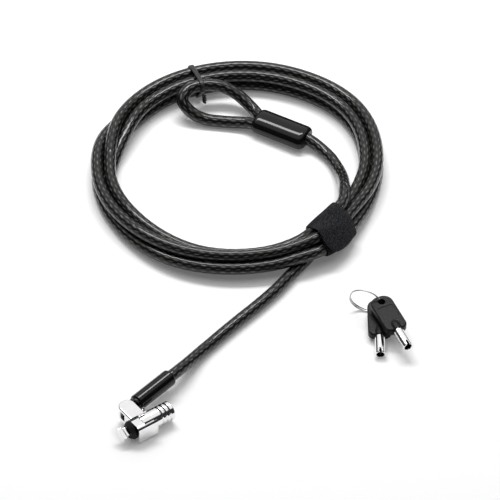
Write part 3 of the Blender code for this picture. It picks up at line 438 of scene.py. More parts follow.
def cable_jacket():
    """Clear dark jacket over braided steel strands: flecks of wire on a warm black ground, their light grey
    partly the steel's own colour and partly a painted highlight where the wires glint.
    """
    paint = Paint("clear_jacket_over_braid")
    lengthwise, crosswise, (cell_left, cell_right) = braid_cells(paint)

    # the two wire directions alternate from row to row
    steps_apart = paint.maths("ABSOLUTE", paint.maths("SUBTRACT", cell_left, cell_right))
    parity = paint.maths("MODULO", steps_apart, 2.0)
    lean = paint.maths("MULTIPLY_ADD", parity, 0.3, -0.15)
    leaning = paint.maths("MULTIPLY_ADD", lengthwise, lean, crosswise)

    fleck = fleck_shape(paint, lengthwise, leaning, 0.66, 0.22)
    swell = fleck_shape(paint, lengthwise, crosswise, 1.0, 0.75)
    chance = paint.node("ShaderNodeTexWhiteNoise", noise_dimensions="2D")
    cell = paint.node("ShaderNodeCombineXYZ")
    paint.join(cell_left, cell.inputs[0])
    paint.join(cell_right, cell.inputs[1])
    paint.join(cell.outputs[0], chance.inputs["Vector"])
    wires = paint.maths("SINE", paint.maths("MULTIPLY", leaning, 46.0))
    wires = paint.maths("MULTIPLY_ADD", wires, 0.14, 0.86)
    # random brightness of each fleck; with the light fleck colour below, this paints in the wires' glints as
    # highlight on top of the steel's own grey
    shine = paint.span(chance.outputs["Value"], 0.0, 1.0, 0.35, 1.0)
    bright = paint.maths("MULTIPLY", paint.maths("MULTIPLY", fleck, shine), wires)

    ground = paint.blend(swell, (0.0008, 0.0007, 0.0006), (0.006, 0.0054, 0.0048))
    paint.set(Base_Color=paint.blend(bright, ground, (0.24, 0.23, 0.21)),
              Metallic=paint.maths("MULTIPLY", bright, 0.55),
              Roughness=paint.span(bright, 0.0, 1.0, 0.5, 0.32), IOR=1.22,
              Coat_Weight=1.0, Coat_Roughness=0.06, Coat_IOR=1.36)
    height = paint.maths("MULTIPLY_ADD", fleck, 0.6, swell)
    paint.bump(height, 0.16)
    ripple = paint.noise(paint.place(), 2.6, 1.0)
    paint.bump(ripple, 0.05, "Coat Normal")
    return paint.material


def fleck_shape(paint, lengthwise, crosswise, half_length, half_width):
    """About 0.7 in the middle of an ellipse, falling smoothly to 0 at its rim."""
    a = paint.maths("POWER", paint.maths("DIVIDE", lengthwise, half_length), 2.0)
    b = paint.maths("POWER", paint.maths("DIVIDE", crosswise, half_width), 2.0)
    inside = paint.maths("SUBTRACT", 1.0, paint.maths("ADD", a, b), clamp=True)
    return paint.maths("SMOOTH_MIN", inside, 0.7, 0.3)


def tie_plastic():
    paint = Paint("tie_plastic")
    place = paint.place()
    grain = paint.noise(place, 0.35, 3.0, 0.6)
    paint.set(Base_Color=paint.blend(grain, (0.012, 0.012, 0.012), (0.028, 0.028, 0.028)),
              Roughness=paint.span(grain, 0.3, 0.7, 0.3, 0.5))
    paint.bump(grain, 0.04)
    return paint.material


# ------ mesh helpers
def make_object(name, bm, paint, smooth_angle=35.0):
    """Turn a bmesh drawn in millimetres into an object in metres."""
    bmesh.ops.remove_doubles(bm, verts=bm.verts, dist=1e-5)
    bmesh.ops.recalc_face_normals(bm, faces=bm.faces)
    bmesh.ops.scale(bm, vec=(MM, MM, MM), verts=bm.verts)
    mesh = bpy.data.meshes.new(name)
    bm.to_mesh(mesh)
    bm.free()
    mesh.shade_smooth()
    mesh.set_sharp_from_angle(angle=math.radians(smooth_angle))
    if paint is not None:
        mesh.materials.append(paint)
    obj = bpy.data.objects.new(name, mesh)
    bpy.context.scene.collection.objects.link(obj)
    return obj


def carries(points):
    """Two directions across a line at each of its points, carried along it without twisting."""
    tangents = np.gradient(points, axis=0)
    tangents /= np.linalg.norm(tangents, axis=1)[:, None]
    across = np.zeros_like(points)
    first = np.cross(tangents[0], (0.0, 0.0, 1.0))
    across[0] = first / np.linalg.norm(first)
    for i in range(1, len(points)):
        moved = across[i - 1] - tangents[i] * np.dot(across[i - 1], tangents[i])
        across[i] = moved / np.linalg.norm(moved)
    return across, np.cross(tangents, across)


def tube_mesh(name, points, radius, sides, paint, ripple=None, uv_name=None):
    """Round tube along a line of points, ends closed, with a map of length and angle if asked for."""
    across, up = carries(points)
    reach = np.concatenate([[0.0], np.cumsum(np.linalg.norm(np.diff(points, axis=0), axis=1))])
    angles = 2 * math.pi * np.arange(sides) / sides
    sizes = np.full((len(points), sides), float(radius))
    if ripple is not None:
        sizes += ripple(reach[:, None], angles[None, :])
    rim = across[:, None, :] * np.cos(angles)[None, :, None]
    rim = rim + up[:, None, :] * np.sin(angles)[None, :, None]
    verts = (points[:, None, :] + rim * sizes[:, :, None]).reshape(-1, 3) * MM
    row, column = np.meshgrid(np.arange(len(points) - 1), np.arange(sides), indexing="ij")
    row, column = row.ravel(), column.ravel()
    following = (column + 1) % sides
    a, b = row * sides + column, row * sides + following
    faces = np.stack([a, a + sides, b + sides, b], axis=1).tolist()
    last = (len(points) - 1) * sides
    faces.append(list(range(sides)))
    faces.append([last + k for k in range(sides)][::-1])
    mesh = bpy.data.meshes.new(name)
    mesh.from_pydata(verts.tolist(), [], faces)
    mesh.shade_smooth()
    mesh.set_sharp_from_angle(angle=math.radians(60))
    if uv_name is not None:
        u = np.stack([reach[row], reach[row + 1], reach[row + 1], reach[row]], axis=1) * MM
        v = np.stack([column, column, column + 1, column + 1], axis=1) / sides
        flat = np.zeros((len(mesh.loops), 2))
        flat[:u.size, 0], flat[:u.size, 1] = u.ravel(), v.ravel()
        layer = mesh.uv_layers.new(name=uv_name)
        layer.data.foreach_set("uv", flat.ravel())
    mesh.materials.append(paint)
    obj = bpy.data.objects.new(name, mesh)
    bpy.context.scene.collection.objects.link(obj)
    return obj


def bridge(bm, rows):
    """Skin between rows of vertices, each row a closed loop, with the first and last row capped."""
    for this, following in zip(rows, rows[1:]):
        count = len(this)
        for i in range(count):
            j = (i + 1) % count
            bm.faces.new((this[i], this[j], following[j], following[i]))
    bm.faces.new(rows[0][::-1])
    bm.faces.new(rows[-1])


def turned(bm, profile, sides):
    """Revolve an open (along, radius) profile about X, with flat ends."""
    rows = []
    for along, radius in profile:
        row = []
        for i in range(sides):
            angle = 2 * math.pi * i / sides
            row.append(bm.verts.new((along, radius * math.cos(angle), radius * math.sin(angle))))
        rows.append(row)
    bridge(bm, rows)


def prism(bm, outline, low, high):
    """Closed prism over an anticlockwise (x, y) outline, from height low to high."""
    rows = [[bm.verts.new((x, y, z)) for x, y in outline] for z in (low, high)]
    bridge(bm, rows)


def modifier(obj, kind, **settings):
    made = obj.modifiers.new(kind.lower(), kind)
    for key, value in settings.items():
        setattr(made, key, value)


def rounded_edges(obj, width, segments=3, angle=30.0):
    modifier(obj, "BEVEL", width=width * MM, segments=segments, limit_method="ANGLE",
             angle_limit=math.radians(angle), use_clamp_overlap=True)
    modifier(obj, "WEIGHTED_NORMAL", keep_sharp=False)


def combine(target, bm, operation):
    """Adds or cuts a shape drawn in millimetres, and leaves the result in the mesh."""
    tool = make_object(f"{target.name}_tool", bm, None)
    modifier(target, "BOOLEAN", operation=operation, object=tool, solver="EXACT")
    settle(target)
    bpy.data.objects.remove(tool, do_unlink=True)


def settle(obj):
    """Applies a piece's modifiers to its mesh."""
    bpy.context.view_layer.update()
    evaluated = obj.evaluated_get(bpy.context.evaluated_depsgraph_get())
    mesh = bpy.data.meshes.new_from_object(evaluated)
    obj.modifiers.clear()
    obj.data = mesh


def finish_piece(obj, body, slot, *nodes):
    """Puts a piece on its body and hides the CAD nodes that it stands for; its finish is not used."""
    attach(obj, body)
    if nodes:
        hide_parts(*nodes)
    return obj


# ------ view, floor and light
def view_direction():
    azimuth, elevation = math.radians(VIEW_AZIMUTH), math.radians(VIEW_ELEVATION)
    flat = Vector((-math.sin(azimuth), math.cos(azimuth), 0.0))
    return flat * math.cos(elevation) - Vector((0, 0, math.sin(elevation)))


def build_camera():
    data = bpy.data.cameras.new("camera")
    data.sensor_width = SENSOR
    data.lens = SENSOR * VIEW_DISTANCE / VIEW_WIDTH
    data.clip_start, data.clip_end = CLIP
    camera = bpy.data.objects.new("camera", data)
    bpy.context.scene.collection.objects.link(camera)
    look = view_direction()
    camera.location = (VIEW_TARGET - look * VIEW_DISTANCE) * MM
    camera.rotation_euler = look.to_track_quat("-Z", "Y").to_euler()
    bpy.context.scene.camera = camera


def build_floor():
    bm = bmesh.new()
    bmesh.ops.create_grid(bm, x_segments=1, y_segments=1, size=FLOOR_HALF_SIZE)
    paint = Paint("floor_paper")
    grain = paint.noise(paint.place(), 2.0)
    paint.set(Base_Color=paint.blend(grain, (0.90, 0.90, 0.90), (0.92, 0.92, 0.92)), Roughness=0.9,
              Specular_IOR_Level=0.0, Emission_Color=(1.0, 1.0, 1.0, 1.0), Emission_Strength=FLOOR_GLOW)
    floor = make_object("floor", bm, paint.material)
    floor.location.z = -FLOOR_DROP * MM


def area_light(name, place, target, size, radiance, turn):
    """A rectangular softbox of even brightness, its long side turned to an angle in plan."""
    data = bpy.data.lights.new(name, "AREA")
    data.shape = "RECTANGLE"
    data.size, data.size_y = size[0] * MM, size[1] * MM
    data.energy = radiance * math.pi * data.size * data.size_y
    light = bpy.data.objects.new(name, data)
    bpy.context.scene.collection.objects.link(light)
    light.location = place * MM
    down = (target - place).normalized()
    side = Vector((math.cos(turn), math.sin(turn), 0.0))
    side = (side - down * side.dot(down)).normalized()
    rows = Matrix((side, side.cross(down) * -1, -down)).transposed()
    light.rotation_euler = rows.to_euler()


def build_lights():
    """A long softbox above and behind the object, in a room that is pale overhead and dark low down."""
    look = view_direction()
    back = Vector((look.x, look.y, 0)).normalized()
    up = Vector((0, 0, 1))
    right = back.cross(up)
    place = (back * SOFTBOX_BACK - right * SOFTBOX_LEFT + up).normalized()
    area_light("overhead_softbox", VIEW_TARGET + SOFTBOX_REACH * place, VIEW_TARGET, SOFTBOX_SIZE,
               SOFTBOX_RADIANCE, math.atan2(right.y, right.x))
    tilt = math.radians(ROOM_TILT)
    build_room(back * math.sin(tilt) + up * math.cos(tilt))
    bpy.context.scene.view_settings.view_transform = "Standard"


def build_room(brightest):
    """Surroundings that fade from pale round one direction to dark everywhere else."""
    world = bpy.data.worlds.new("studio")
    world.use_nodes = True
    bpy.context.scene.world = world
    tree = world.node_tree
    coordinates = tree.nodes.new("ShaderNodeTexCoord")
    toward = tree.nodes.new("ShaderNodeVectorMath")
    toward.operation = "DOT_PRODUCT"
    toward.inputs[1].default_value = brightest
    ramp = tree.nodes.new("ShaderNodeValToRGB")
    tree.links.new(coordinates.outputs["Generated"], toward.inputs[0])
    tree.links.new(toward.outputs["Value"], ramp.inputs["Fac"])
    edge = math.cos(math.radians(ROOM_PALE_ANGLE))
    ends = ramp.color_ramp.elements
    ends[0].position, ends[0].color = edge - ROOM_EDGE, (*ROOM_DARK, 1)
    ends[1].position, ends[1].color = edge + ROOM_EDGE, (*ROOM_PALE, 1)
    tree.links.new(ramp.outputs["Color"], tree.nodes["Background"].inputs["Color"])


# ------ the cable's line
def bundle_twist(local):
    """How far the bundle has turned about its middle, so many degrees into a turn."""
    for (start, low), (end, high) in zip(BUNDLE_TWIST, BUNDLE_TWIST[1:]):
        if local <= end:
            return low + (high - low) * smoothstep((local - start) / (end - start))
    return BUNDLE_TWIST[-1][1]


def ring_bulge(degrees):
    """Smooth curve through the bulge list, which closes on itself."""
    count = len(RING_BULGE)
    place = (degrees - RING_BULGE[0][0]) % 360
    starts = [angle - RING_BULGE[0][0] for angle, _ in RING_BULGE] + [360]
    k = max(i for i in range(count) if starts[i] <= place)
    t = (place - starts[k]) / (starts[k + 1] - starts[k])
    a, b, c, d = (RING_BULGE[(k + step) % count][1] for step in (-1, 0, 1, 2))
    square = 2 * a - 5 * b + 4 * c - d
    cube = 3 * b - a - 3 * c + d
    return 0.5 * (2 * b + (c - a) * t + square * t * t + cube * t ** 3)


def coil_line():
    """Four turns that twist round each other as one bundle, lifted where the strap lies under them."""
    start, stop = COIL_START, COIL_TURNS * 360 - COIL_STOP
    count = int((stop - start) / COIL_STEP)
    points = []
    for i in range(count + 1):
        travelled = start + (stop - start) * i / count
        turn, local = divmod(travelled, 360)
        slot = math.radians(FIRST_SLOT + 90 * turn + bundle_twist(local))
        lowest = max(-math.sin(slot + q * math.pi / 2) for q in range(4)) * BUNDLE_REACH
        leaving = smoothstep(1 - local / STRAP_LIFT_SPAN)
        arriving = smoothstep((local - 360 + STRAP_LIFT_SPAN) / STRAP_LIFT_SPAN)
        lift = STRAP_LIFT * (leaving + arriving)
        height = CABLE_RADIUS + lowest + BUNDLE_REACH * math.sin(slot) + lift
        degrees = TURN_ANGLE + travelled
        radius = BUNDLE_RADIUS + BUNDLE_REACH * math.cos(slot) + ring_bulge(degrees)
        points.append(ring_point(radius, height, degrees))
    return points


def through_ferrule():
    """The cable enters the ferrule in its middle and leaves it on the loop's side."""
    axis, side = unit(FERRULE_HEADING), unit(FERRULE_HEADING + 90)
    entering = [tuple(FERRULE_CENTRE + axis * a + side * b) for a, b in FERRULE_ENTRY]
    returning = [tuple(FERRULE_CENTRE + axis * a + side * LOOP_LEG_OFFSET)
                 for a in (-FERRULE_LENGTH / 2, FERRULE_RETURN_DEPTH)]
    return entering, returning


def settle_line(points, held, rounds=400):
    """Pushes touching strands a diameter apart and lets them down onto each other and the table."""
    rest = points.copy()
    index = np.arange(len(points))
    apart = np.abs(index[:, None] - index[None, :]) * LINE_SPACING > SAME_STRAND
    apart &= ~(held[:, None] & held[None, :])
    pairs = np.triu(apart, 1)
    touching = 2 * CABLE_RADIUS + STRAND_GAP
    for step in range(rounds):
        if step % 5 == 0:
            distance = np.linalg.norm(points[:, None] - points[None], axis=2)
            first, second = np.nonzero((distance < touching + SEARCH_MARGIN) & pairs)
        gap = points[second] - points[first]
        distance = np.linalg.norm(gap, axis=1) + 1e-9
        push = np.maximum(0.0, touching - distance)[:, None] * gap / distance[:, None] * PUSH_SHARE
        move = np.zeros_like(points)
        np.add.at(move, first, -push)
        np.add.at(move, second, push)
        points = points + move
        points[:, 2] -= SINK
        points += RETURN_SHARE * (rest - points)
        shift = points - rest
        smooth = shift.copy()
        smooth[1:-1] = 0.5 * shift[1:-1] + 0.25 * (shift[:-2] + shift[2:])
        points = rest + smooth
        points[:, 2] = np.maximum(points[:, 2], CABLE_RADIUS)
        points[held] = rest[held]
    return points


def cable_line():
    """The cable's whole middle line, from the sleeve's mouth to its end inside the ferrule."""
    entering, returning = through_ferrule()
    route = TAIL_ROUTE + coil_line() + LEAD_ROUTE + entering + LOOP_ROUTE + returning
    points = evenly_spaced(smooth_curve(route), LINE_SPACING)
    points[:, 2] = np.maximum(points[:, 2], CABLE_RADIUS)
    held = np.zeros(len(points), bool)
    held[:HELD_TAIL_POINTS] = True
    flat = points[:, :2] - np.array(FERRULE_CENTRE)[:2]
    held |= (np.linalg.norm(flat, axis=1) < HELD_FERRULE_REACH) & (points[:, 2] < HELD_FERRULE_HEIGHT)
    return settle_line(points, held)


def weave_ripple(reach, angle):
    """The jacket stands a few hundredths of a millimetre proud over each braid crossing."""
    along = 2 * math.pi * reach / WEAVE_PITCH
    return WEAVE_RISE * np.cos(along) * np.cos(WEAVE_ROWS * angle)


def build_cable(line):
    """The whole cable as one tube. Its middle line, at the tube's spacing, is returned with it."""
    fine = evenly_spaced(smooth_curve(line, 6), CABLE_SPACING)
    cable = tube_mesh("security_cable", fine, CABLE_RADIUS, CABLE_SIDES, cable_jacket(), weave_ripple,
                      "cable_map")
    nodes = ("cable_tail", "cable_coil", "cable_lead", "cable_end_loop")
    return finish_piece(cable, "cable", "cable_jacket", *nodes), fine


# ------ strap and tie
def strands_at(line, degrees):
    """(radius, height) of each strand where the cable passes a ring angle."""
    direction = unit(degrees)
    normal = unit(degrees + 90)
    flat = line[:, :2] - np.array(COIL_CENTRE)
    ahead = flat @ np.array(direction)[:2]
    side = flat @ np.array(normal)[:2]
    found = []
    for i in np.nonzero((side[:-1] <= 0) != (side[1:] <= 0))[0]:
        if ahead[i] > BUNDLE_RADIUS - 3 * BUNDLE_REACH:
            part = side[i] / (side[i] - side[i + 1])
            found.append((ahead[i] + part * (ahead[i + 1] - ahead[i]),
                          line[i, 2] + part * (line[i + 1, 2] - line[i, 2])))
    return found


def hull(points):
    """Convex outline of points in a plane, anticlockwise."""
    ordered = sorted(set(points))

    def chain(sequence):
        kept = []
        for p in sequence:
            while len(kept) > 1 and cross(kept[-2], kept[-1], p) <= 1e-9:
                kept.pop()
            kept.append(p)
        return kept[:-1]
    return chain(ordered) + chain(ordered[::-1])


def cross(a, b, c):
    return (b[0] - a[0]) * (c[1] - a[1]) - (b[1] - a[1]) * (c[0] - a[0])


def tight_outline(strands, middle):
    """Distance from the middle to a band pulled tight round the strands, in evenly turned directions."""
    points = []
    for centre in strands:
        points += arc(centre, CABLE_RADIUS + BAND_CLEARANCE, 0, 350, 35)
    outline = np.array(hull([(round(x, 6), round(y, 6)) for x, y in points])) - middle
    side = np.roll(outline, -1, axis=0) - outline
    steps = 20
    dense = np.concatenate([outline + side * k / steps for k in range(steps)])
    angles = np.degrees(np.arctan2(dense[:, 1], dense[:, 0])) % 360
    order = np.argsort(angles)
    reach = np.linalg.norm(dense, axis=1)[order]
    return np.interp(outline_angles(), angles[order], reach, period=360)


def outline_angles():
    return np.arange(OUTLINE_STEPS) * 360 / OUTLINE_STEPS


def ring_point(radius, height, degrees):
    angle = math.radians(degrees)
    return (COIL_CENTRE.x + radius * math.cos(angle), COIL_CENTRE.y + radius * math.sin(angle), height)


def band_outlines(line, stations):
    """The middle of the bundle, and at each ring angle an outline that clears the strands there."""
    sections = [strands_at(line, degrees) for degrees in stations]
    middle = np.mean([p for strands in sections for p in strands], axis=0)
    outlines = np.array([tight_outline(strands, middle) for strands in sections])
    smooth = np.array(outlines)
    for _ in range(BAND_SMOOTHING):
        inner = 0.25 * (smooth[:-2] + smooth[2:]) + 0.5 * smooth[1:-1]
        smooth[1:-1] = np.maximum(inner, outlines[1:-1])
    return middle, smooth


def end_width(from_end, end_round, half_width):
    """Share of a band's full width at a distance from its rounded end."""
    if from_end >= end_round:
        return 1.0
    drawn_in = 1 - math.sqrt(max(0.0, 1 - (1 - from_end / end_round) ** 2))
    return 1 - drawn_in * end_round / half_width


def spiral_band(name, line, ring_angle, half_span, thickness, sweep, part, climb, end_round, paint,
                across=16, steps=150):
    """Part of a flat band wound round the bundle a bit more than once, its end lying on its own start."""
    start, finish = sweep
    places = [2 * j / across - 1 for j in range(across + 1)]
    middle, outlines = band_outlines(line, [ring_angle + half_span * place for place in places])
    bm = bmesh.new()
    rows = []
    for i in range(steps + 1):
        angle = part[0] + (part[1] - part[0]) * i / steps
        ray = (math.cos(math.radians(angle)), math.sin(math.radians(angle)))
        travelled = abs(angle - start)
        layer = thickness * BAND_STEP_UP * smoothstep((travelled - climb[0]) / (climb[1] - climb[0]))
        from_end = (abs(finish - start) - travelled) * math.radians(BAND_ROUND_RADIUS)
        width = end_width(from_end, end_round, BUNDLE_RADIUS * math.radians(half_span))
        upper, lower = [], []
        for place in places:
            share = place * width
            station = (share + 1) / 2 * across
            low = min(across - 1, int(station))
            outline = outlines[low] + (outlines[low + 1] - outlines[low]) * (station - low)
            reach = layer + np.interp(angle % 360, outline_angles(), outline, period=360)
            edge = BAND_EDGE_DRAW * thickness * (abs(place) ** BAND_EDGE_POWER)
            for store, out in ((lower, reach + edge), (upper, reach + thickness - edge)):
                height = max(TABLE_CLEARANCE, middle[1] + ray[1] * out)
                radius = middle[0] + ray[0] * out
                store.append(bm.verts.new(ring_point(radius, height, ring_angle + half_span * share)))
        rows.append(upper + lower[::-1])
    bridge(bm, rows)
    return make_object(name, bm, paint, 60.0)


def build_strap(line):
    """The strap's hook side lies underneath, and its cloth side is wrapped over and pressed on it; the hook
    side's fabric is painted dark as shade and the cloth side's is painted light.
    """
    pieces = []
    for name, node, slot, part, steps, painted_light_level in STRAP_PIECES:
        band = spiral_band(name, line, STRAP_MIDDLE, STRAP_HALF_SPAN, STRAP_THICKNESS, STRAP_SWEEP, part,
                           STRAP_CLIMB, STRAP_END_ROUND, strap_fabric(f"{name}_fabric", painted_light_level), steps=steps)
        pieces.append(finish_piece(band, "cable", slot, node))
    return pieces


def build_tie(line):
    """Flat wire tie round the bundle and the end loop, its two ends twisted together."""
    paint = tie_plastic()
    band = spiral_band("tie_band", line, TIE_ANGLE, TIE_HALF_SPAN, TIE_THICKNESS, TIE_SWEEP, TIE_SWEEP,
                       TIE_CLIMB, TIE_END_ROUND, paint, across=6, steps=110)
    knot = []
    for phase in (0.0, math.pi):
        points = []
        for i in range(TWIST_STEPS + 1):
            along = i / TWIST_STEPS
            angle = phase + 2 * math.pi * TWIST_TURNS * along
            radius = TWIST_FROM[0] + (TWIST_TO[0] - TWIST_FROM[0]) * along + TWIST_SPREAD * math.cos(angle)
            height = TWIST_FROM[1] + (TWIST_TO[1] - TWIST_FROM[1]) * along
            sideways = math.degrees(TWIST_SPREAD * math.sin(angle) / TWIST_FROM[0])
            points.append(ring_point(radius, height, TIE_ANGLE + sideways))
        strand = tube_mesh(f"tie_twist_{len(knot) + 1}", np.array(points), TWIST_WIRE, 12, paint)
        knot.append(finish_piece(strand, "cable", "tie"))
    return [finish_piece(band, "cable", "tie", "twist_tie"), *knot]


# ------ ferrule
def ferrule_stations():
    """(along, how far the shell is drawn in there) from one mouth to the other."""
    rolled = []
    for k in range(FERRULE_END_STEPS + 1):
        angle = math.radians(90 * k / FERRULE_END_STEPS)
        rolled.append((-FERRULE_LENGTH / 2 + FERRULE_END_ROUNDING * (1 - math.cos(angle)),
                       FERRULE_MOUTH_STEP * (1 - math.sin(angle))))
    straight = [(x, 0.0) for x in (-6, -3, 0, 3, 6)]
    return rolled + straight + [(-x, drawn) for x, drawn in rolled[::-1]]


def build_ferrule():
    """Oval moulded sleeve over the crimp, its ends rolled in round the cables."""
    bm = bmesh.new()
    rows = []
    for along, drawn in ferrule_stations():
        row = []
        for i in range(FERRULE_SIDES):
            angle = 2 * math.pi * i / FERRULE_SIDES
            c, s = math.cos(angle), math.sin(angle)
            y = math.copysign(abs(c) ** FERRULE_ROUNDNESS[0], c) * (FERRULE_WIDTH / 2 - drawn)
            z = math.copysign(abs(s) ** FERRULE_ROUNDNESS[1], s) * (FERRULE_HEIGHT / 2 - drawn)
            row.append(bm.verts.new((along, y, z)))
        rows.append(row)
    bridge(bm, rows)
    turn = Matrix.Rotation(math.radians(FERRULE_HEADING), 4, "Z")
    bmesh.ops.transform(bm, matrix=Matrix.Translation(FERRULE_CENTRE) @ turn, verts=bm.verts)
    shell = make_object("ferrule_shell", bm, gloss_black("ferrule_gloss_black"), 40.0)
    return finish_piece(shell, "cable", "gloss_black", "ferrule_cover")


# ------ keys and ring
def key_matrix(key):
    """Place of a key drawn with its hole at the origin and its tube along X."""
    turn = Matrix.Rotation(math.radians(key["heading"]), 4, "Z")
    dip = Matrix.Rotation(math.radians(key["pitch"]), 4, "Y")
    return Matrix.Translation(key["hole"] * MM) @ turn @ dip


def bow_outline(inset=0.0):
    """Plan of the bow: round top, straight sides, cut corners beside the tube."""
    top, bottom = -HOLE_FROM_END + inset, BOW_FOOT - inset
    half = BOW_WIDTH / 2 - inset
    corner, foot = BOW_TOP_CORNER - inset, FOOT_CORNER - inset
    points = arc((top + corner, -half + corner), corner, 180, 270, 10)
    points += arc((bottom - foot, -half + foot), foot, -90, 0, 10)
    return points + [(x, -y) for x, y in points[::-1]]


def build_bow(name, key, paint):
    """Moulded bow with a rounded rim, a boss round the tube's root, a panel on each side and a hole."""
    bow = bmesh.new()
    half = BOW_THICKNESS / 2
    rims = arc((0.0, half - BOW_EDGE), BOW_EDGE, 0, 90, 5)
    levels = [(x, -z) for x, z in rims[::-1]] + rims
    bridge(bow, [[bow.verts.new((x, y, z)) for x, y in bow_outline(BOW_EDGE - reach)] for reach, z in levels])
    body = make_object(f"{name}_handle", bow, paint)
    boss = bmesh.new()
    turned(boss, [(BOW_FOOT + along, radius) for along, radius in BOSS], 40)
    combine(body, boss, "UNION")
    for side in (1, -1):
        panel = bmesh.new()
        low, high = sorted((side * (half - PANEL_DEPTH), side * (half + 1)))
        prism(panel, panel_outline(), low, high)
        combine(body, panel, "DIFFERENCE")
    hole = bmesh.new()
    prism(hole, arc((0, 0), BOW_HOLE_RADIUS, 0, 352.5, 47), -5, 5)
    combine(body, hole, "DIFFERENCE")
    body.data.transform(key_matrix(key))
    rounded_edges(body, 0.12, 2)
    finish_piece(body, name, "key_plastic", f"{name}_bow")


def build_tube(name, key, paint):
    """Turned tube of a key: thinner root in the bow, open bore, chamfered mouth and a notch on top."""
    start = BOW_FOOT + KEY_TUBE_GAP
    end = start + KEY_TUBE_LENGTH
    bore, outer, root = KEY_TUBE_BORE, KEY_TUBE_RADIUS, KEY_TUBE_RADIUS - KEY_TUBE_ROOT
    profile = [(start - 1.0, root), (start, root), (start, outer), (end - 0.25, outer), (end, outer - 0.2),
               (end, bore + 0.1), (end - 0.15, bore), (start + 2, bore), (start + 2, 0.02)]
    shank = bmesh.new()
    turned(shank, profile, 48)
    tube = make_object(f"{name}_barrel", shank, paint)
    notch = bmesh.new()
    near, far = end - NOTCH_DEPTH, end + 1
    prism(notch, [(near, -NOTCH_HALF_WIDTH), (far, -NOTCH_HALF_WIDTH), (far, NOTCH_HALF_WIDTH),
                  (near, NOTCH_HALF_WIDTH)], 1.0, 4.0)
    combine(tube, notch, "DIFFERENCE")
    tube.data.transform(key_matrix(key))
    rounded_edges(tube, 0.08, 2, 35.0)
    finish_piece(tube, name, "chrome", f"{name}_tube")


def panel_outline():
    """Recessed finger panel of a bow, clear of its hole and its boss."""
    corner = PANEL_CORNER
    left, right = PANEL_FROM_HOLE + corner, BOW_FOOT - PANEL_FROM_FOOT - corner
    half = BOW_WIDTH / 2 - PANEL_MARGIN - corner
    points = []
    for x, y, start in ((right, -half, -90), (right, half, 0), (left, half, 90), (left, -half, 180)):
        points += arc((x, y), corner, start, start + 90, 6)
    return points


def build_ring(paint):
    """Sprung wire ring of a little more than one turn, its ends side by side."""
    heading, lean = math.radians(RING_HEADING), math.radians(RING_LEAN)
    along = Vector((math.cos(heading), math.sin(heading), 0))
    normal = Vector((-math.sin(heading), math.cos(heading), 0))
    normal = (normal * math.cos(lean) + Vector((0, 0, 1)) * math.sin(lean)).normalized()
    up = along.cross(normal)
    if up.z < 0:
        up = -up
    points = []
    for i in range(RING_STEPS + 1):
        part = i / RING_STEPS
        angle = math.radians(RING_START) + 2 * math.pi * RING_TURNS * part
        ray = along * math.cos(angle) + up * math.sin(angle)
        points.append(tuple(RING_CENTRE + RING_RADIUS * ray + normal * (RING_SPREAD * (part - 0.5))))
    ring = tube_mesh("split_ring", np.array(points), RING_WIRE, 16, paint)
    return finish_piece(ring, "ring", "chrome", "key_ring")


# ------ yoke
def build_yoke(paint):
    """The yoke from the CAD's own faces, its lug's rim rounded as the casting's is."""
    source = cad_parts["yoke_body"]
    bm = bmesh.new()
    bm.from_mesh(source.data)
    bm.transform(Matrix.Scale(1 / MM, 4) @ source.matrix_world)
    bmesh.ops.remove_doubles(bm, verts=bm.verts, dist=0.002)
    bmesh.ops.dissolve_limit(bm, angle_limit=math.radians(1.0), verts=bm.verts, edges=bm.edges)
    rim = [edge for edge in bm.edges if on_lug_rim(edge)]
    bmesh.ops.bevel(bm, geom=rim, offset=LUG_RIM, segments=LUG_RIM_STEPS, profile=0.5, affect="EDGES",
                    clamp_overlap=True)
    yoke = make_object("yoke_casting", bm, paint, 40.0)
    rounded_edges(yoke, YOKE_EDGE, 3, 40.0)
    return finish_piece(yoke, "yoke", "chrome", "yoke_body")


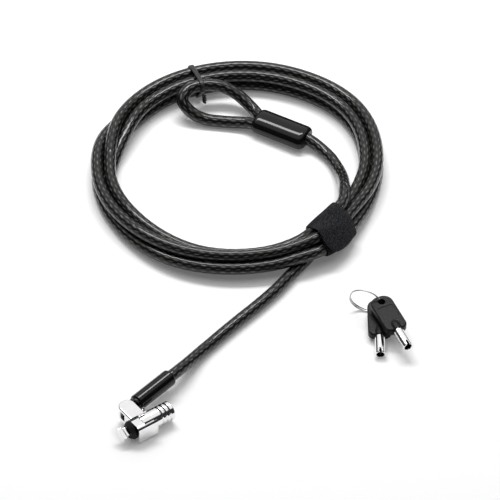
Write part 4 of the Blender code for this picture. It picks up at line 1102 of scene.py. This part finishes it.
def on_lug_rim(edge):
    """True for the folded edges round the lug's flat top, but not where it meets the block."""
    a, b = (vert.co for vert in edge.verts)
    middle = (a + b) / 2
    off_block = abs(a.y - b.y) > NEAR_TOP or middle.y > LUG_START_Y + 1
    return middle.z > LUG_TOP - NEAR_TOP and off_block and edge.calc_face_angle(0.0) > 1.0


# ------ the CAD's own pieces
def soften(node, width, segments=3, angle=30.0):
    """Rounds the edges of a CAD piece that shows, as plating and tumbling leave them."""
    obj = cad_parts[node]
    modifier(obj, "WELD", merge_threshold=0.000002)
    modifier(obj, "DECIMATE", decimate_type="DISSOLVE", angle_limit=math.radians(1.0))
    rounded_edges(obj, width, segments, angle)


def paint_node(node, paint):
    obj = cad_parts[node]
    obj.data.materials.clear()
    obj.data.materials.append(paint)


def paint_frame(finishes):
    for paint, names in finishes:
        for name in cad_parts:
            if any(name == wanted or name.startswith(wanted + "_") for wanted in names):
                paint_node(name, paint)


# ------ everything together
def main():
    build_camera()
    build_floor()
    build_lights()
    line = cable_line()
    cable, fine = build_cable(line)
    bright = metal("polished_chrome", (0.90, 0.89, 0.89), 0.05, 0.12, 0.0015)
    plain = metal("plain_steel", (0.62, 0.62, 0.64), 0.22, 0.36, 0.004)
    yellow = metal("turned_brass", (0.78, 0.58, 0.28), 0.2, 0.34, 0.004)
    black, rubber, grey = gloss_black(), nose_rubber(), key_plastic()
    paint_frame([
        (bright, ["yoke_body", "lock_barrel", "slot_guide", "t_bar"]),
        (plain, ["pivot_pin", "yoke_retaining_clip", "pin_spring", "driver_pin", "keyway_post",
                 "ferrule_crimp"]),
        (yellow, ["pin_block", "plug_core", "key_pin"]),
        (black, ["strain_sleeve", "sleeve_collar", "cable_eye"]),
        (rubber, ["nose_pad"]),
    ])
    build_yoke(bright)
    soften("lock_barrel", 0.12, 2)
    soften("slot_guide", 0.22, 3)
    soften("t_bar", 0.3, 3)
    soften("nose_pad", 0.2, 2)
    soften("strain_sleeve", 0.15, 2, 25.0)
    strap = build_strap(fine)
    tie = build_tie(fine)
    shell = build_ferrule()
    for name, key in (("key_a", KEY_A), ("key_b", KEY_B)):
        build_bow(name, key, grey)
        build_tube(name, key, bright)
    build_ring(plain)


main()
bpy.context.view_layer.update()
